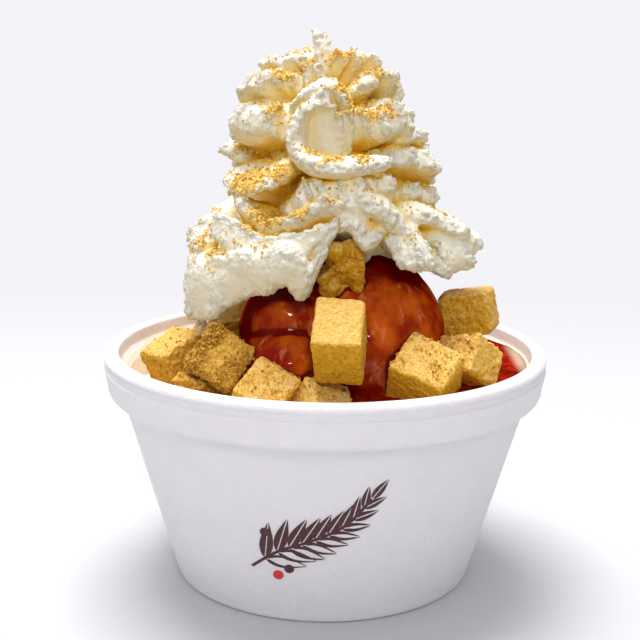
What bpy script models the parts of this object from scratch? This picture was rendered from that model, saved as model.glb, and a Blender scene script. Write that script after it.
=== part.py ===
"""A strawberry cheesecake sundae in a round foam bowl.

Three scoops of ice cream stand in strawberry sauce, cubes of cheesecake lie round and on them,
and a tall swirl of whipped cream in thin ruffled folds covers their tops.
The bowl's axis is the Z axis, its foot stands at Z = 0 and the front of the sundae faces -Y.
The tables hold millimetres and degrees. A place on the swirl is an angle about the axis,
where 270 is the front and 180 the left, a distance from the axis and a height.
"""

import math

import bmesh
import bpy
from mathutils import Euler, Matrix, Vector, noise

MM = 0.001
GAP = 0.3

# The bowl: a 12 oz squat foam food container.
BOWL_HEIGHT = 61.3
RIM_RADIUS = 58.5
MOUTH_RADIUS = 54.6
FOOT_RADIUS = 39.8
WALL = 2.6
FLOOR = 3.0
FOOT_ROUND = 1.2
FLOOR_ROUND = 5.0
BEAD_BOTTOM = 57.0
BEAD_ROUND = 1.6
LIP_ROUND = 0.9
BAND_TOP_RADIUS = 58.0
BAND_BOTTOM_RADIUS = 57.6
BAND_BOTTOM = 49.3
BAND_ROUND = 3.0
NECK_RADIUS = 52.6
NECK_HEIGHT = 45.0
# The sloping step inside, from the wall out to the mouth.
STEP_RADIUS = 51.6
STEP_LOW = 55.6
STEP_HIGH = 57.9
BOWL_TURNS = 48

# The sauce fills the bowl to a level that rises from the left to the right.
# Its side has a shoulder under the level, where the bowl's inner step starts.
SAUCE_LEVEL = 54.0
SAUCE_SLOPE = 0.075
SAUCE_FRONT_RISE = 1.5
SAUCE_LUMP = 0.5
SAUCE_RINGS = (0, 24, 34, 41, 47)
SAUCE_SIDE = (54.0, 53.0, 46.0, 30.0, 12.0)
SAUCE_SHOULDER = 1.0
SAUCE_TURNS = 40
WALL_CLEARANCE = 0.35

# Each scoop is fused from balls: centre and radius.
SCOOPS = {
    "scoop_right": [((6, -12, 64.8), 25), ((9, -8, 32), 24)],
    "scoop_back": [((-3, 13, 60), 25), ((-6, 12, 29), 22)],
    "scoop_left": [((-9, -23, 68), 14), ((-9, -27, 60), 14.5), ((-17, -18, 52), 12)],
}
SCOOP_VOXEL = 1.2
SCOOP_EASE = 3
SCOOP_FACES = 330
SCOOP_GAP = 0.4

# Cheesecake cubes: centre, turn about X, Y and Z, and sides.
CUBES = [
    ((3.2, -43, 72.4), (34, 0, -6.5), (11.5, 15.2, 14)),
    ((24, -35.5, 62.5), (33, 18, -25), (14.5, 13, 13)),
    ((35, -25, 63), (53, -15, -42), (13, 11, 12)),
    ((37, -8, 72.5), (-1, -10, -17), (13, 13, 11.4)),
    ((-1, -43.3, 54.8), (30, 20, 25), (12, 12, 12)),
    ((-14.6, -40.5, 58), (41, 29, -17), (12, 13, 13)),
    ((-25, -32.5, 64.5), (59, 31, -12), (13, 12.5, 14)),
    ((-38, -15, 61), (24, -6, -51), (13, 13, 10)),
    ((-29, -30, 55), (10, 15, 40), (14, 10, 10)),
    ((-23.5, -13, 67.5), (15, -10, 20), (13, 12, 12)),
    ((3.5, -28, 87.5), (20, 12, 15), (10.5, 9, 11)),
    ((25, 31, 61), (12, 20, 55), (13, 13, 12)),
    ((3, 45, 59), (-15, 10, 15), (13, 11, 13)),
    ((-20.5, 35.8, 59), (20, 15, 70), (12, 13, 12)),
    ((-30.5, 25.5, 57.8), (-10, 25, 35), (13, 12, 12)),
    ((35, -5, 60), (8, -6, 30), (12, 12, 12)),
    ((11, 36, 71), (35, -20, 10), (12, 13, 12)),
    ((-11, 39, 70), (40, 15, -25), (12, 12, 13)),
    ((35, 17, 59), (15, 30, 20), (12, 12, 12)),
]
CUBE_ROUND = 1.3
CUBE_UNEVEN = 0.8
NEAR_CUBE = 19.0

# The swirl's solid middle: height, radius and how far it stands back from the axis.
# Its two ends draw in over a short way, and more steeply the larger CORE_FULL is.
CORE = [
    (75, 18, 5),
    (81, 23, 6),
    (88, 25.5, 5.5),
    (96, 24, 3),
    (104, 19, 1),
    (112, 16, 0),
    (120, 12, 0),
    (128, 8, 0),
    (138, 2, 0),
]
CORE_FULL = 2.2

# Each fold of the swirl: its crest, then how far in and how much higher its root lies,
# its thickness at root and crest, and how far it bows up between the two.
FOLDS = {
    "crown_left": (
        [(155, 15, 131), (178, 17.5, 134), (200, 15.5, 136), (222, 11.5, 136.6), (242, 8, 134.5)],
        (11, -8, 10, 4, 1),
    ),
    "crown_front": (
        [(228, 14, 128.5), (240, 13.5, 134), (256, 11.5, 136.5), (272, 13, 131)],
        (9, -9, 7, 3, -1),
    ),
    "crown_right": (
        [
            (250, 6, 136),
            (285, 8, 138.4),
            (315, 11, 138.2),
            (332, 13.5, 136),
            (350, 15.5, 132.5),
            (12, 15, 130),
        ],
        (10, -9, 9, 3.6, 1),
    ),
    "brow_left": (
        [(165, 21, 124), (184, 23.5, 127), (203, 22.5, 130.3), (222, 18.5, 132), (242, 15, 129)],
        (13, -9, 13, 6, 2),
    ),
    "brow_right": (
        [(286, 17, 127), (304, 19, 131), (324, 19.5, 133), (342, 19.5, 130.5), (0, 19.5, 125.5)],
        (12, -8, 9, 3.6, 1),
    ),
    "cheek_left": (
        [(168, 24, 115), (190, 25.5, 119), (214, 25.5, 121), (238, 23, 120.5), (256, 18, 118)],
        (14, -3, 14, 9, 1),
    ),
    "cheek_right": (
        [
            (284, 20, 118),
            (292, 23, 120),
            (308, 24.5, 121.5),
            (324, 24.5, 122),
            (338, 23, 119.5),
            (350, 21, 116),
        ],
        (13, -4, 14, 9, 1),
    ),
    "side_left": (
        [(148, 25, 111), (166, 27, 113.5), (184, 27.5, 112.5), (202, 25, 110)],
        (14, -3, 10, 4, 1),
    ),
    "ear_right": (
        [(314, 24, 115), (330, 26.5, 117.5), (346, 26.5, 115.5), (2, 25.5, 111.5), (18, 23, 109)],
        (15, -5, 11, 4.5, 1),
    ),
    "lobe_right": (
        [(300, 26, 110), (320, 28.5, 112.5), (340, 29.5, 110), (355, 28.5, 106), (12, 25, 104)],
        (16, -4, 14, 6, 2),
    ),
    "shelf_left": (
        [
            (176, 25, 107),
            (198, 29, 105),
            (220, 31.5, 104),
            (236, 32.5, 105),
            (250, 30, 107.5),
            (260, 26, 109),
        ],
        (17, 4, 9, 3.6, 1),
    ),
    "band_front": (
        [
            (238, 31, 96),
            (247, 31.5, 99),
            (256, 31.5, 102),
            (266, 31, 105),
            (277, 30.5, 106.5),
            (289, 30, 107.8),
            (300, 30, 107),
            (309, 29.5, 103.5),
            (316, 28, 99),
        ],
        (15, -8, 15, 8.5, 2),
    ),
    "block_right": (
        [(308, 28, 102), (325, 29.5, 104.5), (340, 29, 103), (356, 28, 98.5), (12, 25, 97)],
        (15, -6, 13, 6, 1),
    ),
    "wing_left": (
        [(166, 31, 88), (183, 35, 91), (197, 37, 91.3), (210, 36.5, 89), (224, 34, 87)],
        (17, -9, 9, 6, 1),
    ),
    "wing_right": (
        [(298, 32, 96), (314, 35.5, 97), (328, 39, 94.5), (342, 41.5, 91), (354, 40, 86.5), (8, 35, 84)],
        (19, 0, 12, 5, 2),
    ),
    "arch_front": (
        [
            (221, 33, 96),
            (228, 35.5, 105.5),
            (235, 35.5, 103),
            (242, 35, 97),
            (250, 35, 98.5),
            (262, 34.5, 103),
            (276, 35, 105.5),
            (289, 34.5, 101),
            (300, 32, 96),
        ],
        (14, -9, 14, 4, -1),
    ),
    "arch_curtain": (
        [
            (219, 37.5, 90),
            (225, 38.8, 92.5),
            (235, 38.8, 91),
            (246, 38.6, 88),
            (257, 38.3, 89),
            (266, 37.5, 91),
            (275, 36.5, 93.5),
        ],
        (3, 7, 6, 6, -1),
    ),
    "arch_tail": (
        [(272, 34, 103), (285, 35, 102), (297, 35, 97.5), (307, 35, 92.5), (314, 34.5, 90)],
        (14, 3, 9, 5.5, 1),
    ),
    "arch_lip": (
        [
            (262, 31, 98),
            (270, 33.5, 96.5),
            (279, 34, 96.5),
            (286, 34.3, 93.8),
            (292, 34.3, 92.6),
            (302, 34, 91.5),
        ],
        (14, 7, 10, 4.5, 1),
    ),
    "droop_front": (
        [
            (293, 33, 93),
            (297, 36, 89.5),
            (301, 37, 87.3),
            (306, 38.3, 86.2),
            (311, 39.3, 86.2),
            (315, 38, 89),
            (318, 34, 93),
        ],
        (13, 8, 9, 4.5, 2),
    ),
    "droop_right": (
        [
            (310, 34, 90),
            (316, 38.5, 85.5),
            (321, 40.5, 83.8),
            (327, 41, 86),
            (336, 41.5, 88),
            (348, 40, 87.5),
            (4, 36, 85),
        ],
        (17, 7, 12, 5, 2),
    ),
    "apron": (
        [
            (214, 38, 80),
            (228, 40, 81),
            (240, 40, 83),
            (248, 40, 82.5),
            (256, 39.5, 84.5),
            (263, 39, 80.5),
            (268, 36, 86),
            (273, 32, 93),
        ],
        (4, 9.5, 8.5, 4.5, 1.5),
    ),
    "tail_left": (
        [
            (213, 38, 82),
            (216, 41.8, 77.5),
            (218.5, 43, 74.6),
            (225, 42.4, 74.6),
            (235, 41.6, 77),
            (246, 40.5, 79.8),
            (257, 39, 83.5),
        ],
        (6, 14, 9, 5, 1),
    ),
    "curl_sheet": (
        [(242, 20, 119), (252, 20.5, 125.5), (265, 20.3, 127.5), (277, 20.7, 125.5), (287, 21, 120)],
        (0.5, -15, 7, 4.5, 2),
    ),
    "curl_face": (
        [(238, 17, 122), (250, 17.5, 126.5), (264, 17, 128), (276, 17.5, 126.5), (284, 19, 122)],
        (9, -11, 7, 3.5, -1),
    ),
}
# The folds of the front come again at the back, turned round and drawn in, more so at the sides.
BACK_TURN = 183
BACK_SEED = 50
BACK_REACH = 0.97
BACK_SIDE_REACH = 0.84
FRONT_ONLY = ("crown_front", "crown_left", "tail_left", "droop_right", "arch_curtain", "curl_sheet")

# Ribbons of the curl and the peak: the path, then its width towards the axis and its thickness along it.
RIBBONS = {
    "curl_outer": (
        [
            (237, 18, 118),
            (240, 19, 123.5),
            (250, 20, 127),
            (262, 20, 129),
            (272, 20, 129.3),
            (280, 20.5, 127),
            (285, 21, 122.5),
            (286.5, 20.5, 118),
            (284, 20, 113),
        ],
        (8, 10, 11, 11, 11, 11, 10, 9, 7),
        (3.5, 4, 4, 4.2, 4.4, 4.4, 4.4, 4.4, 4),
    ),
    "curl_inner": (
        [
            (276, 21, 124.5),
            (265, 23, 125.5),
            (255, 24.5, 123.5),
            (251, 26, 119),
            (253, 28.5, 115),
            (261, 31, 112),
            (273, 32, 110.8),
            (287, 31.8, 111.4),
            (302, 30.5, 112.3),
        ],
        (7, 9, 10, 11, 12, 12, 12, 13, 14),
        (3.6, 4.2, 4.8, 5.2, 5.6, 5.8, 6.2, 7, 7.5),
    ),
    "peak": (
        [(250, 7, 127), (250, 6.5, 133), (232, 5.3, 138.5), (200, 5, 143.6)],
        (10, 8, 6, 4),
        (9, 6.5, 4.6, 3.2),
    ),
}
# A fold or ribbon starts as a ball of so many segments around and along.
FOLD_BALL = (16, 30)
RIBBON_BALL = (16, 48)
CORE_BALL = (32, 24)
# How blunt the two ends of a fold and of a ribbon are, from 0, square, to 1, round.
FOLD_END = 0.3
RIBBON_END = 0.35
# How fast a fold thins out from its root, and how far its crest wanders.
THINNING = 1.6
RIPPLE = 2.6
CREAM_VOXEL = 0.9
CREAM_EASE = 2
CREAM_FACES = 5000


def smooth_table(rows, t):
    """The value at t, from 0 to 1, of a curve through equally spaced rows of numbers."""
    spans = len(rows) - 1
    k = min(int(t * spans), spans - 1)
    u = t * spans - k
    before, start, end, after = (rows[max(0, min(spans, k + step))] for step in (-1, 0, 1, 2))
    return [
        0.5 * (2 * b + (c - a) * u + (2 * a - 5 * b + 4 * c - d) * u**2 + (3 * b - a - 3 * c + d) * u**3)
        for a, b, c, d in zip(before, start, end, after)
    ]


def on_swirl(angle, radius, height):
    turn = math.radians(angle)
    return Vector((radius * math.cos(turn), radius * math.sin(turn), height))


def unwrapped(places):
    """The places with each angle moved by whole turns to follow the one before it."""
    rows = [list(places[0])]
    for angle, radius, height in places[1:]:
        angle += 360 * round((rows[-1][0] - angle) / 360)
        rows.append([angle, radius, height])
    return rows


def behind(place):
    """The same place on the swirl's back."""
    angle, radius, height = place
    angle += BACK_TURN
    backwards = max(0.0, math.sin(math.radians(angle)))
    return angle, radius * (BACK_SIDE_REACH + (BACK_REACH - BACK_SIDE_REACH) * backwards), height


def sphere_points(bm, around, along):
    """The vertices of a new ball, each with its run from end to end and its place in the section."""
    ball = bmesh.ops.create_uvsphere(bm, u_segments=around, v_segments=along, radius=1.0)
    for vert in ball["verts"]:
        x, y, z = vert.co
        run = 0.5 + math.asin(max(-1.0, min(1.0, z))) / math.pi
        fullness = math.sqrt(max(0.0, 1.0 - z * z))
        unit = (x / fullness, y / fullness) if fullness > 1e-6 else (0.0, 0.0)
        yield vert, run, fullness, unit


def heading(rows, run, step):
    """The way a path through the rows runs, from a little behind a place on it to a little ahead."""
    ahead = on_swirl(*smooth_table(rows, min(1.0, run + step)))
    return ahead - on_swirl(*smooth_table(rows, max(0.0, run - step)))


def add_fold(bm, crest, depth, lift, root_thick, crest_thick, bow, seed):
    """A leaf of cream from a root inside the swirl out to its ragged crest."""
    rows = unwrapped(crest)
    for vert, run, fullness, (x, y) in sphere_points(bm, *FOLD_BALL):
        blunt = fullness**FOLD_END
        reach = 0.5 * (x + 1.0) * blunt
        angle, radius, height = smooth_table(rows, run)
        root = on_swirl(angle, max(radius - depth, 1.0), height + lift)
        out = on_swirl(angle, radius, height) - root
        across = out.cross(heading(rows, run, 0.02)).normalized()
        half = 0.5 * (crest_thick + (root_thick - crest_thick) * (1 - reach) ** THINNING) * blunt
        side = math.copysign(math.sqrt(abs(y)), y) * half
        wander = RIPPLE * noise.noise(Vector((angle * 0.16, seed * 3.7, height * 0.1))) * reach**3
        sway = RIPPLE * noise.noise(Vector((seed * 5.1, angle * 0.1, 0))) * reach
        arch = bow * 4 * reach * (1 - reach)
        vert.co = root + out * reach + out.normalized() * wander + across * (side + arch + sway)


def add_ribbon(bm, path, widths, thicknesses):
    """A band of cream on edge: its width runs towards the axis, its narrow edge shows."""
    rows = unwrapped(path)
    for vert, run, fullness, (x, y) in sphere_points(bm, *RIBBON_BALL):
        middle = on_swirl(*smooth_table(rows, run))
        along = heading(rows, run, 0.01).normalized()
        outward = Vector((middle.x, middle.y, 0))
        outward = (outward - along * outward.dot(along)).normalized()
        side = along.cross(outward)
        blunt = fullness**RIBBON_END
        width = 0.5 * blunt * smooth_table([[w] for w in widths], run)[0]
        thickness = 0.5 * blunt * smooth_table([[w] for w in thicknesses], run)[0]
        vert.co = middle + outward * (x - 1) * width + side * y * thickness


def add_core(bm):
    low, high = CORE[0][0], CORE[-1][0]
    for vert, run, fullness, (x, y) in sphere_points(bm, *CORE_BALL):
        height = low + (high - low) * run
        for (z0, r0, back0), (z1, r1, back1) in zip(CORE, CORE[1:]):
            if z0 <= height <= z1:
                part = (height - z0) / (z1 - z0)
                radius = r0 + (r1 - r0) * part
                back = back0 + (back1 - back0) * part
        radius *= min(1.0, fullness * CORE_FULL)
        vert.co = Vector((x * radius, y * radius + back, height))


def add_ball(bm, centre, radius):
    ball = bmesh.ops.create_icosphere(bm, subdivisions=4, radius=radius)
    bmesh.ops.translate(bm, verts=ball["verts"], vec=centre)


def new_collection(name):
    collection = bpy.data.collections.new(name)
    bpy.context.scene.collection.children.link(collection)
    return collection


def new_material(name, colour, roughness):
    material = bpy.data.materials.new(name)
    material.use_nodes = True
    shader = material.node_tree.nodes["Principled BSDF"]
    shader.inputs["Base Color"].default_value = (*colour, 1.0)
    shader.inputs["Roughness"].default_value = roughness
    return material


def new_object(name, bm, collection, material=None):
    """An object of the millimetre mesh, in metres."""
    bmesh.ops.scale(bm, vec=(MM, MM, MM), verts=bm.verts)
    mesh = bpy.data.meshes.new(name)
    bm.to_mesh(mesh)
    bm.free()
    obj = bpy.data.objects.new(name, mesh)
    collection.objects.link(obj)
    if material:
        mesh.materials.append(material)
    return obj


def applied(obj):
    """The object with its modifiers made part of its mesh."""
    bpy.context.view_layer.update()
    graph = bpy.context.evaluated_depsgraph_get()
    mesh = bpy.data.meshes.new_from_object(obj.evaluated_get(graph))
    obj.modifiers.clear()
    obj.data = mesh
    return obj


def fuse(obj, voxel, ease, faces):
    """Joins the shapes of a mesh into one skin, eases it and thins it to about so many faces."""
    skin = obj.modifiers.new("fuse", "REMESH")
    skin.mode = "VOXEL"
    skin.voxel_size = voxel * MM
    soften = obj.modifiers.new("ease", "SMOOTH")
    soften.iterations = ease
    applied(obj)
    thin = obj.modifiers.new("thin", "DECIMATE")
    thin.ratio = min(1.0, faces / (2 * len(obj.data.polygons)))
    return applied(obj)


def cut(obj, *cutters):
    for cutter in cutters:
        slot = obj.modifiers.new("cut for " + cutter.name, "BOOLEAN")
        slot.operation = "DIFFERENCE"
        slot.object = cutter


def as_cutter(obj, cutters):
    cutters.objects.link(obj)
    for collection in list(obj.users_collection):
        if collection is not cutters:
            collection.objects.unlink(obj)
    obj.hide_render = True
    obj.display_type = "WIRE"
    return obj


def arc(centre_r, centre_z, radius, start, end, steps):
    turns = [math.radians(start + (end - start) * k / steps) for k in range(steps + 1)]
    return [(centre_r + radius * math.cos(a), centre_z + radius * math.sin(a)) for a in turns]


def wall_radius(height):
    """The outside of the bowl's straight wall."""
    return FOOT_RADIUS + (NECK_RADIUS - FOOT_RADIUS) * height / NECK_HEIGHT


def turned(name, profile, collection, material, turns):
    """A profile of radius and height, turned about the axis."""
    bm = bmesh.new()
    verts = [bm.verts.new((r, 0, z)) for r, z in profile]
    for a, b in zip(verts, verts[1:]):
        bm.edges.new((a, b))
    obj = new_object(name, bm, collection, material)
    screw = obj.modifiers.new("turn", "SCREW")
    screw.steps = screw.render_steps = turns
    screw.use_merge_vertices = True
    screw.merge_threshold = 0.00001
    screw.use_smooth_shade = True
    return obj


def inside_line():
    """The inside of the bowl's wall, from its rounded floor up to the mouth, with the step under the rim."""
    foot = wall_radius(FLOOR) - WALL
    return [
        (foot + 0.4, FLOOR + 3.7),
        (wall_radius(NECK_HEIGHT) - WALL, NECK_HEIGHT + 1),
        (STEP_RADIUS, STEP_LOW),
        (MOUTH_RADIUS - 0.6, STEP_HIGH),
        (MOUTH_RADIUS - 0.3, STEP_HIGH + 0.8),
    ]


def inside_radius(height):
    line = inside_line()
    for (r0, z0), (r1, z1) in zip(line, line[1:]):
        if height <= z1:
            return r0 + (r1 - r0) * (height - z0) / (z1 - z0)
    return line[-1][0]


def make_bowl(collection):
    inside_floor = wall_radius(FLOOR) - WALL
    profile = [(0, FLOOR), (inside_floor - FLOOR_ROUND, FLOOR)]
    profile += arc(inside_floor - FLOOR_ROUND + 0.6, FLOOR + FLOOR_ROUND, FLOOR_ROUND, -70, -35, 1)
    profile += inside_line()
    profile += arc(MOUTH_RADIUS + LIP_ROUND, BOWL_HEIGHT - LIP_ROUND, LIP_ROUND, 180, 90, 2)
    profile += arc(RIM_RADIUS - BEAD_ROUND, BOWL_HEIGHT - BEAD_ROUND, BEAD_ROUND, 90, 0, 3)
    profile += [(RIM_RADIUS, BEAD_BOTTOM + 0.6), (BAND_TOP_RADIUS, BEAD_BOTTOM)]
    profile += arc(BAND_BOTTOM_RADIUS - BAND_ROUND, BAND_BOTTOM + BAND_ROUND, BAND_ROUND, 0, -50, 2)
    profile += [(NECK_RADIUS + 0.8, NECK_HEIGHT + 1.6), (NECK_RADIUS, NECK_HEIGHT)]
    profile += arc(FOOT_RADIUS - FOOT_ROUND + 0.2, FOOT_ROUND, FOOT_ROUND, 0, -90, 2)
    profile += [(0, 0)]
    foam = new_material("foam", (0.80, 0.79, 0.80), 0.6)
    return turned("bowl", profile, collection, foam, BOWL_TURNS)


def make_scoops(collection, cutters):
    glaze = new_material("glazed ice cream", (0.50, 0.09, 0.03), 0.2)
    scoops, grown = {}, {}
    for name, balls in SCOOPS.items():
        bm = bmesh.new()
        for centre, radius in balls:
            add_ball(bm, centre, radius)
        scoops[name] = fuse(new_object(name, bm, collection, glaze), SCOOP_VOXEL, SCOOP_EASE, SCOOP_FACES)
        grown[name] = scoops[name].copy()
        grown[name].name = name + "_grown"
        swell = grown[name].modifiers.new("swell", "DISPLACE")
        swell.strength = SCOOP_GAP * MM
        swell.mid_level = 0.0
        as_cutter(grown[name], cutters)
    cut(scoops["scoop_back"], grown["scoop_right"])
    cut(scoops["scoop_left"], grown["scoop_right"], grown["scoop_back"])
    return scoops, grown


def soft_shift(place):
    """A shift of up to 1 along each axis that changes softly from place to place."""
    return Vector([noise.noise(place + Vector(apart)) for apart in ((11.3, 0, 0), (0, 17.9, 0), (0, 0, 23.7))])


def cube_mesh(sides, grow, seed):
    """A cut cube of cake with soft, slightly uneven corners."""
    bm = bmesh.new()
    bmesh.ops.create_cube(bm, size=1.0)
    for vert in bm.verts:
        corner = Vector(s * (side + 2 * grow) for s, side in zip(vert.co, sides))
        uneven = soft_shift(vert.co * 3.1 + Vector((seed * 1.7, 0, 0)))
        vert.co = corner + uneven * CUBE_UNEVEN
    bmesh.ops.bevel(
        bm,
        geom=bm.edges[:],
        offset=CUBE_ROUND,
        segments=1,
        profile=0.5,
        affect="EDGES",
        offset_type="OFFSET",
        material=-1,
    )
    bmesh.ops.triangulate(bm, faces=bm.faces[:])
    return bm


def make_cubes(collection, cutters):
    """The cubes, each cut where it would meet an earlier one."""
    cake = new_material("cheesecake", (0.72, 0.47, 0.15), 0.75)
    cubes, grown = [], []
    for number, (centre, turn, sides) in enumerate(CUBES, 1):
        turned_by = Euler([math.radians(a) for a in turn]).to_matrix().to_4x4()
        place = Matrix.Translation(Vector(centre) * MM) @ turned_by
        name = f"cheesecake_cube_{number:02d}"
        cube = new_object(name, cube_mesh(sides, 0.0, number), collection, cake)
        bigger = new_object(name + "_grown", cube_mesh(sides, GAP, number), collection)
        cube.matrix_world = bigger.matrix_world = place
        for other, (other_centre, _, _) in zip(grown, CUBES):
            if (Vector(other_centre) - Vector(centre)).length < NEAR_CUBE:
                cut(cube, other)
        cubes.append(cube)
        grown.append(as_cutter(bigger, cutters))
    return cubes, grown


def sauce_height(x, y):
    rise = SAUCE_FRONT_RISE * max(0.0, -y) / MOUTH_RADIUS
    lump = SAUCE_LUMP * noise.noise(Vector((x * 0.09, y * 0.09, 4.0)))
    return SAUCE_LEVEL + SAUCE_SLOPE * x + rise + lump


def make_sauce(collection):
    """The pool, out to the wall and down to the floor, with an uneven level."""
    clear = GAP + WALL_CLEARANCE
    profile = [(r, SAUCE_LEVEL) for r in SAUCE_RINGS]
    profile += [(inside_radius(z) - clear, z) for z in SAUCE_SIDE]
    profile += [(inside_radius(SAUCE_SIDE[-1]) - FLOOR_ROUND, FLOOR + GAP), (0, FLOOR + GAP)]
    red = new_material("strawberry sauce", (0.30, 0.01, 0.015), 0.12)
    sauce = applied(turned("strawberry_sauce", profile, collection, red, SAUCE_TURNS))
    for vert in sauce.data.vertices:
        point = vert.co / MM
        if point.z > SAUCE_SIDE[2] + GAP:
            level = sauce_height(point.x, point.y)
            shoulder = point.z < SAUCE_SIDE[1] + GAP
            point.z = min(STEP_LOW, level - SAUCE_SHOULDER) if shoulder else level
            reach = Vector((point.x, point.y, 0)).length
            if reach > SAUCE_RINGS[-1] + GAP:
                edge = (inside_radius(point.z) - clear) / reach
                point.x *= edge
                point.y *= edge
            vert.co = point * MM
    return sauce


def make_cream(collection):
    bm = bmesh.new()
    add_core(bm)
    for seed, (name, (crest, form)) in enumerate(FOLDS.items()):
        add_fold(bm, crest, *form, seed)
        if name not in FRONT_ONLY:
            add_fold(bm, [behind(place) for place in crest], *form, seed + BACK_SEED)
    for path, widths, thicknesses in RIBBONS.values():
        add_ribbon(bm, path, widths, thicknesses)
    white = new_material("whipped cream", (0.87, 0.83, 0.72), 0.6)
    cream = new_object("whipped_cream", bm, collection, white)
    return fuse(cream, CREAM_VOXEL, CREAM_EASE, CREAM_FACES)


def main():
    for obj in list(bpy.data.objects):
        bpy.data.objects.remove(obj)
    sundae = new_collection("strawberry_cheesecake_sundae")
    cutters = new_collection("cutters")
    make_bowl(sundae)
    scoops, grown_scoops = make_scoops(sundae, cutters)
    cubes, grown_cubes = make_cubes(sundae, cutters)
    cream = make_cream(sundae)
    sauce = make_sauce(sundae)
    for scoop in scoops.values():
        cut(scoop, *grown_cubes)
    cut(sauce, *grown_scoops.values(), *grown_cubes)
    cut(cream, *grown_scoops.values(), *grown_cubes)
    for obj in [cream, *scoops.values(), *cubes]:
        obj.data.shade_smooth()


main()
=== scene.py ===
"""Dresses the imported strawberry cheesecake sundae.

The tables hold millimetres and degrees. A place on the swirl of cream is an angle about
the bowl's axis, where 270 is the front and 180 the left, a distance from the axis and a height.
"""

import itertools
import math

import bmesh
import bpy
import numpy as np
from mathutils import Euler, Matrix, Vector, noise
from mathutils.bvhtree import BVHTree


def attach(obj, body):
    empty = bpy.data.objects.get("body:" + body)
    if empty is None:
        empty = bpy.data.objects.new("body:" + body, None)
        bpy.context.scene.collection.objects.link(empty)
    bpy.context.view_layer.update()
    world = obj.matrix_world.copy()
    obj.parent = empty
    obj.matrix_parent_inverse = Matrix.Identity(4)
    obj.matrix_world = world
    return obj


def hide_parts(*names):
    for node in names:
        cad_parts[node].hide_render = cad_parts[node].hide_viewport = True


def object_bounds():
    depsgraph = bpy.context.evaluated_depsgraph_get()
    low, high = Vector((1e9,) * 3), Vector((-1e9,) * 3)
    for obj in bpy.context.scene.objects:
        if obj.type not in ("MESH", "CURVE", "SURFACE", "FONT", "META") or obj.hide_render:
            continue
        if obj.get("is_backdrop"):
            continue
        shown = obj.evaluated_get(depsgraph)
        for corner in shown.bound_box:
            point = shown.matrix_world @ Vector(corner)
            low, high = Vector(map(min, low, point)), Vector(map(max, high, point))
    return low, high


MM = 0.001

# The camera stands this far in front of the bowl's axis and above the table, and looks down.
CAMERA_AWAY = 320.0
CAMERA_HEIGHT = 138.9
CAMERA_DOWN = 12.5
CAMERA_ROLL = 0.716
CAMERA_LENS = 69.08
CAMERA_SHIFT = -0.0088

# The bowl: a 12 oz squat foam food container.
BOWL_HEIGHT = 61.3
RIM_RADIUS = 58.5
MOUTH_RADIUS = 54.6
FOOT_RADIUS = 39.8
WALL = 2.6
FLOOR = 3.0
FOOT_ROUND = 1.2
FLOOR_ROUND = 5.0
BEAD_BOTTOM = 57.0
BEAD_ROUND = 1.6
LIP_ROUND = 0.9
BAND_TOP_RADIUS = 58.0
BAND_BOTTOM_RADIUS = 57.6
BAND_BOTTOM = 49.3
BAND_ROUND = 3.0
NECK_RADIUS = 52.6
NECK_HEIGHT = 45.0
# The sloping step inside, from the wall out to the mouth.
STEP_RADIUS = 51.6
STEP_LOW = 55.6
STEP_HIGH = 57.9
BOWL_TURNS = 240

SAUCE_LEVEL = 54.0
SAUCE_SLOPE = 0.075
SAUCE_FRONT_RISE = 1.5
SAUCE_LUMP = 0.5
SAUCE_CLEAR = 0.65
SAUCE_RINGS = 54
SAUCE_SHOULDER = 52.0
SAUCE_SIDE = (46.0, 30.0, 12.0)
SAUCE_TURNS = 180
# The sauce climbs a little where it meets the food.
CLIMB = 1.1
CLIMB_REACH = 1.6

# Each scoop is fused from balls: centre and radius.
SCOOPS = {
    "scoop_right": [((6, -12, 64.8), 25), ((9, -8, 32), 24)],
    "scoop_back": [((-3, 13, 60), 25), ((-6, 12, 29), 22)],
    "scoop_left": [((-9, -22.3, 71), 12), ((-9, -27, 60), 14.5), ((-17, -18, 52), 12)],
}
SCOOP_VOXEL = 0.7
SCOOP_EASE = 3

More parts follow.
